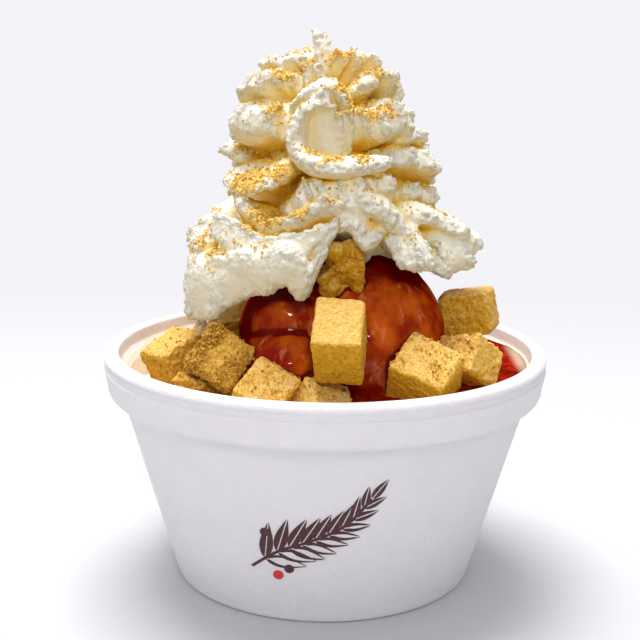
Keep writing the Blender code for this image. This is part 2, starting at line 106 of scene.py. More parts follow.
# Cheesecake cubes: centre, turn about X, Y and Z, and sides, then how ragged the cake is
# and how thickly crumbs lie on what faces up and on its sides.
CUBES = [
    ((3.2, -43, 72.4), (34, 0, -6.5), (11.5, 15.2, 14), 0.2, (0.12, 0.10)),
    ((24, -35.5, 62.5), (33, 18, -25), (14.5, 13, 13), 0.3, (0.55, 0.05)),
    ((35, -25, 63), (53, -15, -42), (13, 11, 12), 0.4, (0.50, 0.20)),
    ((37, -8, 72.5), (-1, -10, -17), (13, 13, 11.4), 0.5, (0.10, 0.05)),
    ((-1, -43.3, 54.8), (30, 20, 25), (12, 12, 12), 0.4, (0.40, 0.10)),
    ((-14.6, -40.5, 58), (41, 29, -17), (12, 13, 13), 0.4, (0.55, 0.30)),
    ((-25, -32.5, 64.5), (59, 31, -12), (13, 12.5, 14), 0.5, (1.00, 0.90)),
    ((-38, -15, 61), (24, -6, -51), (13, 13, 10), 0.6, (0.35, 0.45)),
    ((-29, -30, 55), (10, 15, 40), (14, 10, 10), 1.0, (0.60, 0.40)),
    ((-23.5, -13, 67.5), (15, -10, 20), (13, 12, 12), 0.4, (0.10, 0.10)),
    ((3.5, -28, 87.5), (20, 12, 15), (9.5, 9, 11), 1.9, (0.20, 0.20)),
    ((25, 31, 61), (12, 20, 55), (13, 13, 12), 0.4, (0.50, 0.20)),
    ((3, 45, 59), (-15, 10, 15), (13, 11, 13), 0.4, (0.80, 0.60)),
    ((-20.5, 35.8, 59), (20, 15, 70), (12, 13, 12), 0.4, (0.30, 0.10)),
    ((-30.5, 25.5, 57.8), (-10, 25, 35), (13, 12, 12), 0.5, (0.60, 0.30)),
    ((35, -5, 60), (8, -6, 30), (12, 12, 12), 0.4, (0.20, 0.10)),
    ((11, 36, 71), (35, -20, 10), (12, 13, 12), 0.4, (0.25, 0.10)),
    ((-11, 39, 70), (40, 15, -25), (12, 12, 13), 0.5, (0.90, 0.70)),
    ((35, 17, 59), (15, 30, 20), (12, 12, 12), 0.4, (0.45, 0.20)),
]
# How brown the cake of these cubes is: partly their own browner cake and partly painted shade on cubes that lie in
# shadow.
BROWN_AND_SHADED_CUBES = {1: 0.60, 2: 0.0, 3: 0.0, 4: 0.50, 5: 0.1, 6: 0.1, 7: 1.0, 8: 0.5, 9: 1.0, 10: 0.8, 11: 1.0, 13: 0.6}
CUBE_ROUND = 0.9
CUBE_UNEVEN = 0.8
CUBE_CUTS = 36

# The swirl's solid middle: height, radius and how far it stands back from the axis.
CORE = [
    (75, 18, 5),
    (81, 23, 6),
    (88, 25.5, 5.5),
    (96, 24, 3),
    (104, 19, 1),
    (112, 16, 0),
    (120, 12, 0),
    (128, 8, 0),
    (138, 2, 0),
]
CORE_FULL = 2.2

# Each fold of the swirl: its crest, then how far in and how much higher its root lies,
# its thickness at root and crest, and how far it bows up between the two.
FOLDS = {
    "crown_left": (
        [(155, 15, 131), (178, 17.5, 134), (200, 15.5, 136), (222, 11.5, 136.6), (242, 8, 134.5)],
        (11, -8, 10, 4, 1),
    ),
    "crown_front": (
        [(228, 14, 128.5), (240, 13.5, 134), (256, 11.5, 136.5), (272, 13, 131)],
        (9, -9, 7, 3, -1),
    ),
    "crown_right": (
        [
            (250, 6, 136),
            (285, 8, 138.4),
            (315, 11, 138.2),
            (332, 13.5, 136),
            (350, 15.5, 132.5),
            (12, 15, 130),
        ],
        (10, -9, 9, 3.6, 1),
    ),
    "brow_left": (
        [(165, 21, 124), (184, 23.5, 127), (203, 22.5, 130.3), (222, 18.5, 132), (242, 15, 129)],
        (13, -9, 13, 6, 2),
    ),
    "brow_right": (
        [(286, 17, 127), (304, 19, 131), (324, 19.5, 133), (342, 19.5, 130.5), (0, 19.5, 125.5)],
        (12, -8, 9, 3.6, 1),
    ),
    "cheek_left": (
        [(168, 24, 115), (190, 25.5, 119), (214, 25.5, 121), (238, 23, 120.5), (256, 18, 118)],
        (14, -3, 14, 9, 1),
    ),
    "cheek_right": (
        [
            (284, 20, 118),
            (292, 23, 120),
            (308, 24.5, 121.5),
            (324, 24.5, 122),
            (338, 23, 119.5),
            (350, 21, 116),
        ],
        (13, -4, 14, 9, 1),
    ),
    "side_left": (
        [(148, 25, 111), (166, 27, 113.5), (184, 27.5, 112.5), (202, 25, 110)],
        (14, -3, 10, 4, 1),
    ),
    "ear_right": (
        [(314, 24, 115), (330, 26.5, 117.5), (346, 26.5, 115.5), (2, 25.5, 111.5), (18, 23, 109)],
        (15, -5, 11, 4.5, 1),
    ),
    "lobe_right": (
        [(300, 26, 110), (320, 28.5, 112.5), (340, 29.5, 110), (355, 28.5, 106), (12, 25, 104)],
        (16, -4, 14, 6, 2),
    ),
    "shelf_left": (
        [
            (176, 25, 107),
            (198, 29, 105),
            (220, 31.5, 104),
            (236, 32.5, 105),
            (250, 30, 107.5),
            (260, 26, 109),
        ],
        (17, 4, 9, 3.6, 1),
    ),
    "band_front": (
        [
            (238, 31, 96),
            (247, 31.5, 99),
            (256, 31.5, 102),
            (266, 31, 105),
            (277, 30.5, 106.5),
            (289, 30, 107.8),
            (300, 30, 107),
            (309, 29.5, 103.5),
            (316, 28, 99),
        ],
        (15, -8, 15, 8.5, 2),
    ),
    "block_right": (
        [(308, 28, 102), (325, 29.5, 104.5), (340, 29, 103), (356, 28, 98.5), (12, 25, 97)],
        (15, -6, 13, 6, 1),
    ),
    "wing_left": (
        [(166, 31, 88), (183, 35, 91), (197, 37, 91.3), (210, 36.5, 89), (224, 34, 87)],
        (17, -9, 9, 6, 1),
    ),
    "wing_right": (
        [(298, 32, 96), (314, 35.5, 97), (328, 39, 94.5), (342, 41.5, 91), (354, 40, 86.5), (8, 35, 84)],
        (19, 0, 12, 5, 2),
    ),
    "arch_front": (
        [
            (221, 33, 96),
            (228, 35.5, 105.5),
            (235, 35.5, 103),
            (242, 35, 97),
            (250, 35, 98.5),
            (262, 34.5, 103),
            (276, 35, 105.5),
            (289, 34.5, 101),
            (300, 32, 96),
        ],
        (14, -9, 14, 4, -1),
    ),
    "arch_curtain": (
        [
            (219, 37.5, 90),
            (225, 38.8, 92.5),
            (235, 38.8, 91),
            (246, 38.6, 88),
            (257, 38.3, 89),
            (266, 37.5, 91),
            (275, 36.5, 93.5),
        ],
        (3, 7, 6, 6, -1),
    ),
    "arch_tail": (
        [(272, 34, 103), (285, 35, 102), (297, 35, 97.5), (307, 35, 92.5), (314, 34.5, 90)],
        (14, 3, 9, 5.5, 1),
    ),
    "arch_lip": (
        [
            (262, 31, 98),
            (270, 33.5, 96.5),
            (279, 34, 96.5),
            (286, 34.3, 93.8),
            (292, 34.3, 92.6),
            (302, 34, 91.5),
        ],
        (14, 7, 10, 4.5, 1),
    ),
    "droop_front": (
        [
            (293, 33, 93),
            (297, 36, 89.5),
            (301, 37, 87.3),
            (306, 38.3, 86.2),
            (311, 39.3, 86.2),
            (315, 38, 89),
            (318, 34, 93),
        ],
        (13, 8, 9, 4.5, 2),
    ),
    "droop_right": (
        [
            (310, 34, 90),
            (316, 38.5, 85.5),
            (321, 40.5, 83.8),
            (327, 41, 86),
            (336, 41.5, 88),
            (348, 40, 87.5),
            (4, 36, 85),
        ],
        (17, 7, 12, 5, 2),
    ),
    "apron": (
        [
            (214, 38, 80),
            (228, 40, 81),
            (240, 40, 83),
            (248, 40, 82.5),
            (256, 39.5, 84.5),
            (263, 39, 80.5),
            (268, 36, 86),
            (273, 32, 93),
        ],
        (4, 9.5, 8.5, 4.5, 1.5),
    ),
    "tail_left": (
        [
            (213, 38, 82),
            (216, 41.8, 77.5),
            (218.5, 43, 74.6),
            (225, 42.4, 74.6),
            (235, 41.6, 77),
            (246, 40.5, 79.8),
            (257, 39, 83.5),
        ],
        (6, 14, 9, 5, 1),
    ),
    "curl_sheet": (
        [(242, 20, 119), (252, 20.5, 125.5), (265, 20.3, 127.5), (277, 20.7, 125.5), (287, 21, 120)],
        (0.5, -15, 7, 4.5, 2),
    ),
    "curl_face": (
        [(238, 17, 122), (250, 17.5, 126.5), (264, 17, 128), (276, 17.5, 126.5), (284, 19, 122)],
        (9, -11, 7, 3.5, -1),
    ),
}
BACK_TURN = 183
BACK_SEED = 50
BACK_REACH = 0.97
BACK_SIDE_REACH = 0.84
FRONT_ONLY = ("crown_front", "crown_left", "tail_left", "droop_right", "arch_curtain", "curl_sheet")

# Ribbons of the curl and the peak: the path, then its width towards the axis and its thickness along it.
RIBBONS = {
    "curl_outer": (
        [
            (237, 18, 118),
            (240, 19, 123.5),
            (250, 20, 127),
            (262, 20, 129),
            (272, 20, 129.3),
            (280, 20.5, 127),
            (285, 21, 122.5),
            (286.5, 20.5, 118),
            (284, 20, 113),
        ],
        (8, 10, 11, 11, 11, 11, 10, 9, 7),
        (3.5, 4, 4, 4.2, 4.4, 4.4, 4.4, 4.4, 4),
    ),
    "curl_inner": (
        [
            (276, 21, 124.5),
            (265, 23, 125.5),
            (255, 24.5, 123.5),
            (251, 26, 119),
            (253, 28.5, 115),
            (261, 31, 112),
            (273, 32, 110.8),
            (287, 31.8, 111.4),
            (302, 30.5, 112.3),
        ],
        (7, 9, 10, 11, 12, 12, 12, 13, 14),
        (3.6, 4.2, 4.8, 5.2, 5.6, 5.8, 6.2, 7, 7.5),
    ),
    "peak": (
        [(250, 7, 127), (250, 6.5, 133), (232, 5.3, 138.5), (200, 5, 143.6)],
        (10, 8, 6, 4),
        (9, 6.5, 4.6, 3.2),
    ),
}
FOLD_BALL = (40, 96)
RIBBON_BALL = (40, 120)
CORE_BALL = (64, 48)
FOLD_END = 0.3
RIBBON_END = 0.35
THINNING = 1.6
RIPPLE = 2.6
# The frill along a crest: how far it stands in and out, and how many times a degree.
FRILL = 1.1
FRILL_PACE = 0.5
# The folds of the upper tiers and of the skirt. The others join the core in the middle tiers.
TIERS = {
    "cream_upper": (
        "crown_left",
        "crown_front",
        "crown_right",
        "brow_left",
        "brow_right",
        "cheek_left",
        "cheek_right",
        "side_left",
        "ear_right",
        "curl_sheet",
        "curl_face",
    ),
    "cream_skirt": (
        "wing_left",
        "wing_right",
        "arch_curtain",
        "droop_front",
        "droop_right",
        "apron",
        "tail_left",
    ),
}
CREAM_VOXEL = 0.44
CREAM_EASE = 1

# Where crumbs lie thickest on the cream: the middle of each heap and how far it reaches.
HEAPS = [
    ((-18, -23, 107), 6.0),
    ((-11, -24.5, 109), 4.5),
    ((-22, -19, 106), 4.5),
    ((5, -19.5, 124.5), 3.5),
    ((6.5, -21, 120.5), 3.0),
    ((3.5, -17.5, 128.5), 3.0),
    ((-13, -17, 124), 3.5),
    ((-3.5, -26, 115.5), 3.2),
    ((2, -29, 114.5), 3.5),
    ((8.5, -28.5, 114), 3.2),
    ((11, -20.5, 123), 3.2),
    ((14, -17, 124.5), 3.0),
    ((20, -17, 118.5), 3.5),
    ((-6, -12, 135.5), 4.0),
    ((-11.5, -11, 133.5), 4.0),
    ((3, -9.5, 137), 4.0),
    ((9, -9.5, 135.5), 4.0),
    ((12, -12, 131.5), 3.5),
    ((6, -16, 132), 3.5),
    ((-6, -34.5, 101.5), 3.0),
    ((2.5, -35, 105), 3.5),
    ((-32, -17, 93), 4.0),
    ((-26, -27, 90), 4.0),
    ((-32, -21, 90), 3.5),
    ((-29, -14, 98), 5.5),
    ((-14, -27.5, 101), 5.0),
    ((-12, -31.5, 99.5), 4.0),
    ((-17, -28.5, 99), 4.0),
]

DOLLOP = ((-30, -24, 71.4), 2.2)

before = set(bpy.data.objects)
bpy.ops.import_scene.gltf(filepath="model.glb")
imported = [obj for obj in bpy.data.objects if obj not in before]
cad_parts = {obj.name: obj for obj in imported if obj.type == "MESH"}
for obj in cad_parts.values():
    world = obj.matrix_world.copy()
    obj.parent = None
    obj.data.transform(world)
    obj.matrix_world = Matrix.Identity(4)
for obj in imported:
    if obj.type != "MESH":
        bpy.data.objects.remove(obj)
cad_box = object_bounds()


def smooth_table(rows, t):
    """The value at t, from 0 to 1, of a curve through equally spaced rows of numbers."""
    spans = len(rows) - 1
    k = min(int(t * spans), spans - 1)
    u = t * spans - k
    before, start, end, after = (rows[max(0, min(spans, k + step))] for step in (-1, 0, 1, 2))
    return [
        0.5 * (2 * b + (c - a) * u + (2 * a - 5 * b + 4 * c - d) * u**2 + (3 * b - a - 3 * c + d) * u**3)
        for a, b, c, d in zip(before, start, end, after)
    ]


def arc(centre_r, centre_z, radius, start, end, steps):
    turns = [math.radians(start + (end - start) * k / steps) for k in range(steps + 1)]
    return [(centre_r + radius * math.cos(a), centre_z + radius * math.sin(a)) for a in turns]


class Wire:
    """A value of a material's nodes. Python maths on it adds Math nodes."""

    def __init__(self, finish, socket):
        self.finish = finish
        self.socket = socket

    def maths(self, operation, *values):
        return self.finish.node("ShaderNodeMath", {"operation": operation}, dict(enumerate(values)))

    def __add__(self, other):
        return self.maths("ADD", self, other)

    def __sub__(self, other):
        return self.maths("SUBTRACT", self, other)

    def __rsub__(self, other):
        return self.maths("SUBTRACT", other, self)

    def __mul__(self, other):
        return self.maths("MULTIPLY", self, other)

    def __pow__(self, other):
        return self.maths("POWER", self, other)

    __radd__ = __add__
    __rmul__ = __mul__

    def between(self, low, high):
        """0 below low, 1 above high and a soft step between."""
        settings = {"interpolation_type": "SMOOTHSTEP"}
        return self.finish.node("ShaderNodeMapRange", settings, {0: self, 1: low, 2: high, 3: 0.0, 4: 1.0})

    def capped(self):
        return self.finish.node("ShaderNodeMath", {"operation": "ADD", "use_clamp": True}, {0: self, 1: 0.0})


class Finish:
    """One material, with the patterns that feed its surface."""

    def __init__(self, name, surface):
        self.material = bpy.data.materials.new(name)
        self.material.use_nodes = True
        self.tree = self.material.node_tree
        self.shader = self.tree.nodes["Principled BSDF"]
        for socket, value in surface.items():
            self.feed(self.shader.inputs[socket], value)
        place = self.node("ShaderNodeTexCoord", output="Object")
        scale = {"operation": "SCALE"}
        self.place = self.node("ShaderNodeVectorMath", scale, {0: place, "Scale": 1 / MM}, "Vector")

    def feed(self, socket, value):
        if isinstance(value, Wire):
            self.tree.links.new(value.socket, socket)
        elif isinstance(value, tuple) and len(value) == 3 and socket.type == "RGBA":
            socket.default_value = (*value, 1.0)
        else:
            socket.default_value = value

    def node(self, kind, settings=None, inputs=None, output=0):
        node = self.tree.nodes.new(kind)
        for name, value in (settings or {}).items():
            setattr(node, name, value)
        for name, value in (inputs or {}).items():
            self.feed(node.inputs[name], value)
        return Wire(self, node.outputs[output])

    def noise(self, size, detail=2.0, rough=0.5, stretch=(1, 1, 1), shift=0.0):
        """Soft noise from 0 to 1 with lumps of about this many millimetres."""
        place = self.stretched(stretch, shift)
        inputs = {"Vector": place, "Scale": 1 / size, "Detail": detail, "Roughness": rough}
        return self.node("ShaderNodeTexNoise", None, inputs, "Fac")

    def cells(self, size, feature="F1", stretch=(1, 1, 1), shift=0.0):
        """The distance from the middles of cells of about this many millimetres, or from their edges."""
        inputs = {"Vector": self.stretched(stretch, shift), "Scale": 1 / size}
        return self.node("ShaderNodeTexVoronoi", {"feature": feature}, inputs, "Distance")

    def stretched(self, stretch, shift):
        if stretch == (1, 1, 1) and not shift:
            return self.place
        inputs = {"Vector": self.place, "Location": (shift, shift, shift), "Scale": stretch}
        return self.node("ShaderNodeMapping", None, inputs, "Vector")

    def part(self, axis):
        """One coordinate of the place, in millimetres."""
        return self.node("ShaderNodeSeparateXYZ", None, {0: self.place}, axis)

    def painted(self, name):
        """A value that the mesh carries at each of its points."""
        return self.node("ShaderNodeAttribute", {"attribute_name": name}, None, "Fac")

    def mix(self, share, first, second):
        return self.node("ShaderNodeMix", {"data_type": "RGBA"}, {0: share, 6: first, 7: second}, 2)

    def colour(self, value):
        self.feed(self.shader.inputs["Base Color"], value)

    def roughness(self, value):
        self.feed(self.shader.inputs["Roughness"], value)

    def gloss(self, most):
        """A wet coat that is less bright where the surface turns away."""
        facing = self.node("ShaderNodeLayerWeight", {}, {"Blend": 0.5}, "Facing")
        self.feed(self.shader.inputs["Coat Weight"], (1.0 - facing.between(0.20, 0.50)) * most)

    def relief(self, height, depth):
        """Bumps of this depth in millimetres where the height goes from 0 to 1."""
        inputs = {"Strength": 1.0, "Distance": depth * MM, "Height": height}
        self.feed(self.shader.inputs["Normal"], self.node("ShaderNodeBump", None, inputs, "Normal"))


def foam_finish():
    foam = Finish("white foam", {"Roughness": 0.62, "Subsurface Weight": 0.25, "Subsurface Scale": 0.004})
    foam.feed(foam.shader.inputs["Subsurface Radius"], (1.0, 1.0, 1.0))
    beads = foam.cells(2.1, "DISTANCE_TO_EDGE").between(0.0, 0.22)
    grain = foam.noise(0.55, 3.0, 0.6)
    lumps = foam.noise(7.0, 2.0)
    foam.relief(beads * 0.5 + grain * 0.5 + lumps * 0.3, 0.11)
    inside = foam.painted("inside")
    z = foam.part("Z")
    smear = foam.noise(9.0, 3.0, 0.6).between(0.35, 0.80) * 0.35
    low = (1.0 - z.between(54.5, 59.5)) * 0.5
    white = foam.mix(lumps, (0.73, 0.715, 0.74), (0.79, 0.775, 0.80))
    foam.colour(foam.mix((smear + low + 0.12) * inside, white, (0.80, 0.64, 0.38)))
    return foam.material


def sauce_finish():
    sauce = Finish(
        "strawberry sauce",
        {
            "Subsurface Weight": 0.2,
            "Subsurface Scale": 0.002,
            "Specular IOR Level": 0.0,
            "Coat Roughness": 0.02,
            "Coat IOR": 1.33,
        },
    )
    sauce.feed(sauce.shader.inputs["Subsurface Radius"], (1.0, 0.12, 0.05))
    clouds = sauce.noise(6.0, 3.0, 0.6)
    pulp = sauce.noise(1.1, 2.0)
    red = sauce.mix(clouds.between(0.35, 0.7), (0.12, 0.002, 0.001), (0.32, 0.014, 0.004))
    red = sauce.mix(pulp.between(0.62, 0.75) * 0.5, red, (0.55, 0.12, 0.05))
    x = sauce.part("X")
    melted = 1.0 - x.between(-44.0, -32.0) + x.between(49.0, 52.5) * 0.7
    sauce.colour(sauce.mix(melted.capped(), red, (0.74, 0.60, 0.42)))
    sauce.gloss(0.9)
    sauce.relief(clouds * 0.8 + pulp * 0.2, 0.06)
    return sauce.material


def glaze_finish():
    glaze = Finish(
        "glazed ice cream",
        {
            "Subsurface Weight": 0.2,
            "Subsurface Scale": 0.0015,
            "Specular IOR Level": 0.0,
            "Coat Roughness": 0.015,
            "Coat IOR": 1.33,
        },
    )
    glaze.feed(glaze.shader.inputs["Subsurface Radius"], (1.0, 0.30, 0.12))
    thin = glaze.noise(8.0, 3.0, 0.55)
    veins = glaze.noise(3.0, 4.0, 0.6, (1.0, 1.0, 0.45), 7.0)
    # Painted shade: the glaze turns dark red in its grooves and where the cream and cake over it shut it in.
    hollow = glaze.painted("hollow")
    orange = glaze.mix(thin.between(0.35, 0.70), (0.24, 0.006, 0.001), (0.50, 0.086, 0.004))
    pink = glaze.mix(veins.between(0.55, 0.72) * 0.6, orange, (0.68, 0.21, 0.08))
    shaded_red = glaze.mix(hollow.between(0.03, 0.50), pink, (0.13, 0.002, 0.001))
    glaze.colour(shaded_red)
    glaze.gloss(1.0)
    glaze.relief(veins * 0.6 + glaze.noise(1.6, 2.0) * 0.2, 0.24)
    return glaze.material


def cream_finish():
    cream = Finish(
        "whipped cream",
        {
            "Roughness": 0.5,
            "Specular IOR Level": 0.2,
            "Subsurface Weight": 0.18,
            "Subsurface Scale": 0.0008,
        },
    )
    cream.feed(cream.shader.inputs["Subsurface Radius"], (1.0, 0.72, 0.38))
    crest = cream.painted("crest")
    depth = cream.painted("depth")
    up = cream.node("ShaderNodeNewGeometry", None, None, "Normal")
    up = cream.node("ShaderNodeSeparateXYZ", None, {0: up}, "Z")
    dust = cream.painted("dust")
    foam = cream.cells(0.9, "SMOOTH_F1")
    fine = cream.noise(0.6, 3.0, 0.6)
    soft = cream.noise(2.4, 3.0, 0.6)
    speck = cream.noise(0.42, 1.0, 0.5, shift=3.0)
    # Painted shade: the skirt low on the swirl turns grey away from its crests.
    low = (1.0 - cream.part("Z").between(76.0, 104.0)) * (0.8 - 0.6 * crest)
    white = cream.mix(soft, (0.86, 0.83, 0.70), (0.91, 0.885, 0.78))
    skirt = cream.mix(low, white, (0.55, 0.53, 0.455))
    # Painted shade: faces that turn down or aside are a darker yellow, and crests are kept whiter.
    side = cream.mix((up + crest * 0.4).between(-0.3, 0.85), (0.68, 0.59, 0.38), skirt)
    # Painted shade: points that the cream shuts in turn yellow, and gold in the deepest hollows.
    shade = cream.mix(depth.between(0.22, 0.58), side, (0.83, 0.69, 0.33))
    warm_hollow_shade = cream.mix(depth.between(0.50, 0.85), shade, (0.92, 0.58, 0.035))
    powder = dust.between(0.05, 0.8) * (speck.between(0.46, 0.58) * 0.7 + 0.3)
    cream.colour(cream.mix(powder.capped(), warm_hollow_shade, (0.86, 0.55, 0.09)))
    rough = crest * 0.8 + 0.2
    cream.relief((foam * 0.6 + fine + soft * 0.3) * rough, 1.2)
    return cream.material


def cake_finish():
    cake = Finish(
        "cheesecake",
        {
            "Roughness": 0.6,
            "Specular IOR Level": 0.12,
            "Subsurface Weight": 0.12,
            "Subsurface Scale": 0.001,
        },
    )
    cake.feed(cake.shader.inputs["Subsurface Radius"], (1.0, 0.55, 0.12))
    coat = cake.painted("coat")
    brown_and_shade = cake.painted("brown_and_shade")
    pores = cake.cells(1.1)
    grain = cake.noise(0.75, 4.0, 0.7)
    soft = cake.noise(3.2, 3.0, 0.6)
    fleck = cake.noise(0.5, 2.0, 0.55, shift=5.0)
    up = cake.node("ShaderNodeNewGeometry", None, None, "Normal")
    up = cake.node("ShaderNodeSeparateXYZ", None, {0: up}, "Z")
    blend = grain.between(0.34, 0.64) * 0.75 + soft.between(0.3, 0.7) * 0.25
    lit = cake.mix(blend, (0.78, 0.44, 0.065), (0.94, 0.67, 0.26))
    shaded = cake.mix(blend, (0.70, 0.34, 0.008), (0.96, 0.58, 0.05))
    upper = up.between(-0.1, 0.6)
    pale = cake.mix(upper, shaded, lit)
    # Painted shade and browner cake: each cube's brown share, at full strength on its sides and underside and half on
    # its top.
    baked_and_shaded = cake.mix(blend, (0.34, 0.14, 0.003), (0.66, 0.33, 0.012))
    pale = cake.mix(brown_and_shade * (1.0 - upper * 0.5), pale, baked_and_shaded)
    speck = fleck.between(0.60, 0.66)
    plain = cake.mix(speck * 0.4, pale, (0.34, 0.16, 0.02))
    dusty = (fleck + coat * 0.34).between(0.60, 0.76)
    gold = cake.mix(grain.between(0.35, 0.65), (0.70, 0.33, 0.03), (0.90, 0.55, 0.10))
    crust = cake.mix(grain.between(0.35, 0.65), (0.22, 0.08, 0.004), (0.56, 0.27, 0.025))
    brown = cake.mix(coat.between(0.50, 0.9), gold, crust)
    cake.colour(cake.mix(dusty * coat.between(0.02, 0.3), plain, brown))
    cake.relief(pores * 0.5 + grain * 0.8 + fleck * 0.5, 0.58)
    return cake.material


def crumb_finish(name, dark, pale):
    crumb = Finish(name, {"Roughness": 0.7, "Subsurface Weight": 0.15, "Subsurface Scale": 0.0006})
    kind = crumb.noise(1.3, 1.0, 0.5, shift=11.0)
    crumb.colour(crumb.mix(kind.between(0.30, 0.60), dark, pale))
    crumb.relief(crumb.noise(0.18, 2.0), 0.12)
    return crumb.material


def ink_finish():
    ink = Finish("dark maroon ink", {"Roughness": 0.5})
    patchy = ink.noise(0.7, 3.0, 0.65)
    ink.colour(ink.mix(patchy.between(0.35, 0.75), (0.045, 0.010, 0.012), (0.115, 0.035, 0.038)))
    ink.relief(ink.cells(2.1, "DISTANCE_TO_EDGE").between(0.0, 0.22) * 0.5 + patchy * 0.5, 0.12)
    return ink.material


def red_ink_finish():
    ink = Finish("red ink", {"Roughness": 0.5})
    ink.colour(ink.mix(ink.noise(0.7, 3.0, 0.65), (0.55, 0.015, 0.02), (0.70, 0.04, 0.05)))
    ink.relief(ink.noise(0.6, 2.0), 0.08)
    return ink.material


def ground_finish():
    ground = Finish("pale ground", {"Roughness": 0.9, "Specular IOR Level": 0.0, "Emission Strength": 1.0})
    far = ground.part("Y").between(60.0, 420.0)
    ground.colour(ground.mix(far, (0.54, 0.535, 0.555), (0.0, 0.0, 0.0)))
    ground.feed(ground.shader.inputs["Emission Color"], ground.mix(far, (0.0, 0.0, 0.0), (0.905, 0.895, 0.935)))
    return ground.material


def placed(name, bm):
    """An object of the millimetre mesh, in metres."""
    bmesh.ops.scale(bm, vec=(MM, MM, MM), verts=bm.verts)
    mesh = bpy.data.meshes.new(name)
    bm.to_mesh(mesh)
    bm.free()
    obj = bpy.data.objects.new(name, mesh)
    bpy.context.scene.collection.objects.link(obj)
    return obj


def finished(obj, material, slot, *nodes):
    """The piece with its finish, on the sundae's body and in place of its nodes."""
    obj.data.materials.append(material)
    obj.data.shade_smooth()
    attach(obj, "root")
    if nodes:
        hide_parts(*nodes)
    return obj


def applied(obj):
    """The object with its modifiers made part of its mesh."""
    bpy.context.view_layer.update()
    graph = bpy.context.evaluated_depsgraph_get()
    mesh = bpy.data.meshes.new_from_object(obj.evaluated_get(graph))
    obj.modifiers.clear()
    obj.data = mesh
    return obj


def fused(name, bm, voxel, ease):
    """The shapes of a mesh joined into one eased skin."""
    obj = placed(name, bm)
    skin = obj.modifiers.new("fuse", "REMESH")
    skin.mode = "VOXEL"
    skin.voxel_size = voxel * MM
    soften = obj.modifiers.new("ease", "SMOOTH")
    soften.iterations = ease
    return applied(obj)


def points_of(mesh):
    """The mesh's points in millimetres."""
    flat = np.empty(len(mesh.vertices) * 3)
    mesh.vertices.foreach_get("co", flat)
    return flat.reshape(-1, 3) / MM


def normals_of(mesh):
    flat = np.empty(len(mesh.vertices) * 3)
    mesh.vertices.foreach_get("normal", flat)
    return flat.reshape(-1, 3)


def move_points(mesh, points):
    mesh.vertices.foreach_set("co", (points * MM).ravel())
    mesh.update()


def paint(mesh, name, values):
    """Keeps a value at each point, for the finish to read."""
    layer = mesh.attributes.new(name, "FLOAT", "POINT")
    layer.data.foreach_set("value", np.asarray(values, np.float32))


def painted(mesh, name):
    values = np.empty(len(mesh.vertices), np.float32)
    mesh.attributes[name].data.foreach_get("value", values)
    return values


def eased(mesh, values, rounds):
    """The values at the mesh's points, each drawn towards its neighbours' mean a number of times."""
    ends = np.empty(len(mesh.edges) * 2, np.int32)
    mesh.edges.foreach_get("vertices", ends)
    first, second = ends.reshape(-1, 2).T
    size = len(mesh.vertices)
    around = np.maximum(np.bincount(ends, minlength=size), 1)
    columns = [np.array(column, float) for column in np.atleast_2d(values.T)]
    for _ in range(rounds):
        for k, column in enumerate(columns):
            total = np.bincount(first, column[second], size) + np.bincount(second, column[first], size)
            columns[k] = 0.5 * (column + total / around)
    return np.array(columns).T if values.ndim == 2 else columns[0]


def hollowness(mesh, rounds):
    """How far each point lies in a hollow, in millimetres, and below 0 on a crest."""
    points = points_of(mesh)
    return ((eased(mesh, points, rounds) - points) * normals_of(mesh)).sum(1)


def soft_step(values, low, high):
    t = np.clip((values - low) / (high - low), 0, 1)
    return t * t * (3 - 2 * t)


def lumps(points, size, seed):
    """Soft noise from -1 to 1 at each point, with lumps of about this many millimetres."""
    shift = Vector((seed * 17.3, seed * 5.9, seed * 11.7))
    return np.array([noise.noise(Vector(point) / size + shift) for point in points])


def froth(points, size, seed):
    """Rounded lumps that meet in sharp creases, from 0 in a crease to about 1."""
    shift = Vector((seed * 7.1, seed * 13.3, seed * 3.7))
    return np.array([1 - noise.voronoi(Vector(point) / size + shift)[0][0] for point in points])


def tree_of(*objects):
    """What rays meet: the surfaces of some objects, in millimetres."""
    points, faces = [], []
    for obj in objects:
        start = len(points)
        points += [vert.co / MM for vert in obj.data.vertices]
        faces += [[start + k for k in face.vertices] for face in obj.data.polygons]
    return BVHTree.FromPolygons(points, faces)


def shade_of(points, normals, tree, rays, reach, seed):
    """The share of the rays out of each point that meet something near."""
    draw = np.random.default_rng(seed)
    ways = draw.normal(size=(rays, len(points), 3))
    ways = ways / np.linalg.norm(ways, axis=2)[:, :, None] + normals
    starts = [Vector(start) for start in points + normals * 0.5]
    found = np.zeros(len(points))
    for turn in ways:
        hits = [tree.ray_cast(start, way, reach)[0] is not None for start, way in zip(starts, turn.tolist())]
        found += hits
    return found / rays


def wall_radius(height):
    """The outside of the bowl's straight wall."""
    return FOOT_RADIUS + (NECK_RADIUS - FOOT_RADIUS) * height / NECK_HEIGHT


def inside_line():
    """The inside of the bowl's wall, from its rounded floor up to the mouth, with the step under the rim."""
    foot = wall_radius(FLOOR) - WALL
    return [
        (foot + 0.4, FLOOR + 3.7),
        (wall_radius(NECK_HEIGHT) - WALL, NECK_HEIGHT + 1),
        (STEP_RADIUS, STEP_LOW),
        (MOUTH_RADIUS - 0.6, STEP_HIGH),
        (MOUTH_RADIUS - 0.3, STEP_HIGH + 0.8),
    ]


def inside_radius(height):
    line = inside_line()
    for (r0, z0), (r1, z1) in zip(line, line[1:]):
        if height <= z1:
            return r0 + (r1 - r0) * (height - z0) / (z1 - z0)
    return line[-1][0]


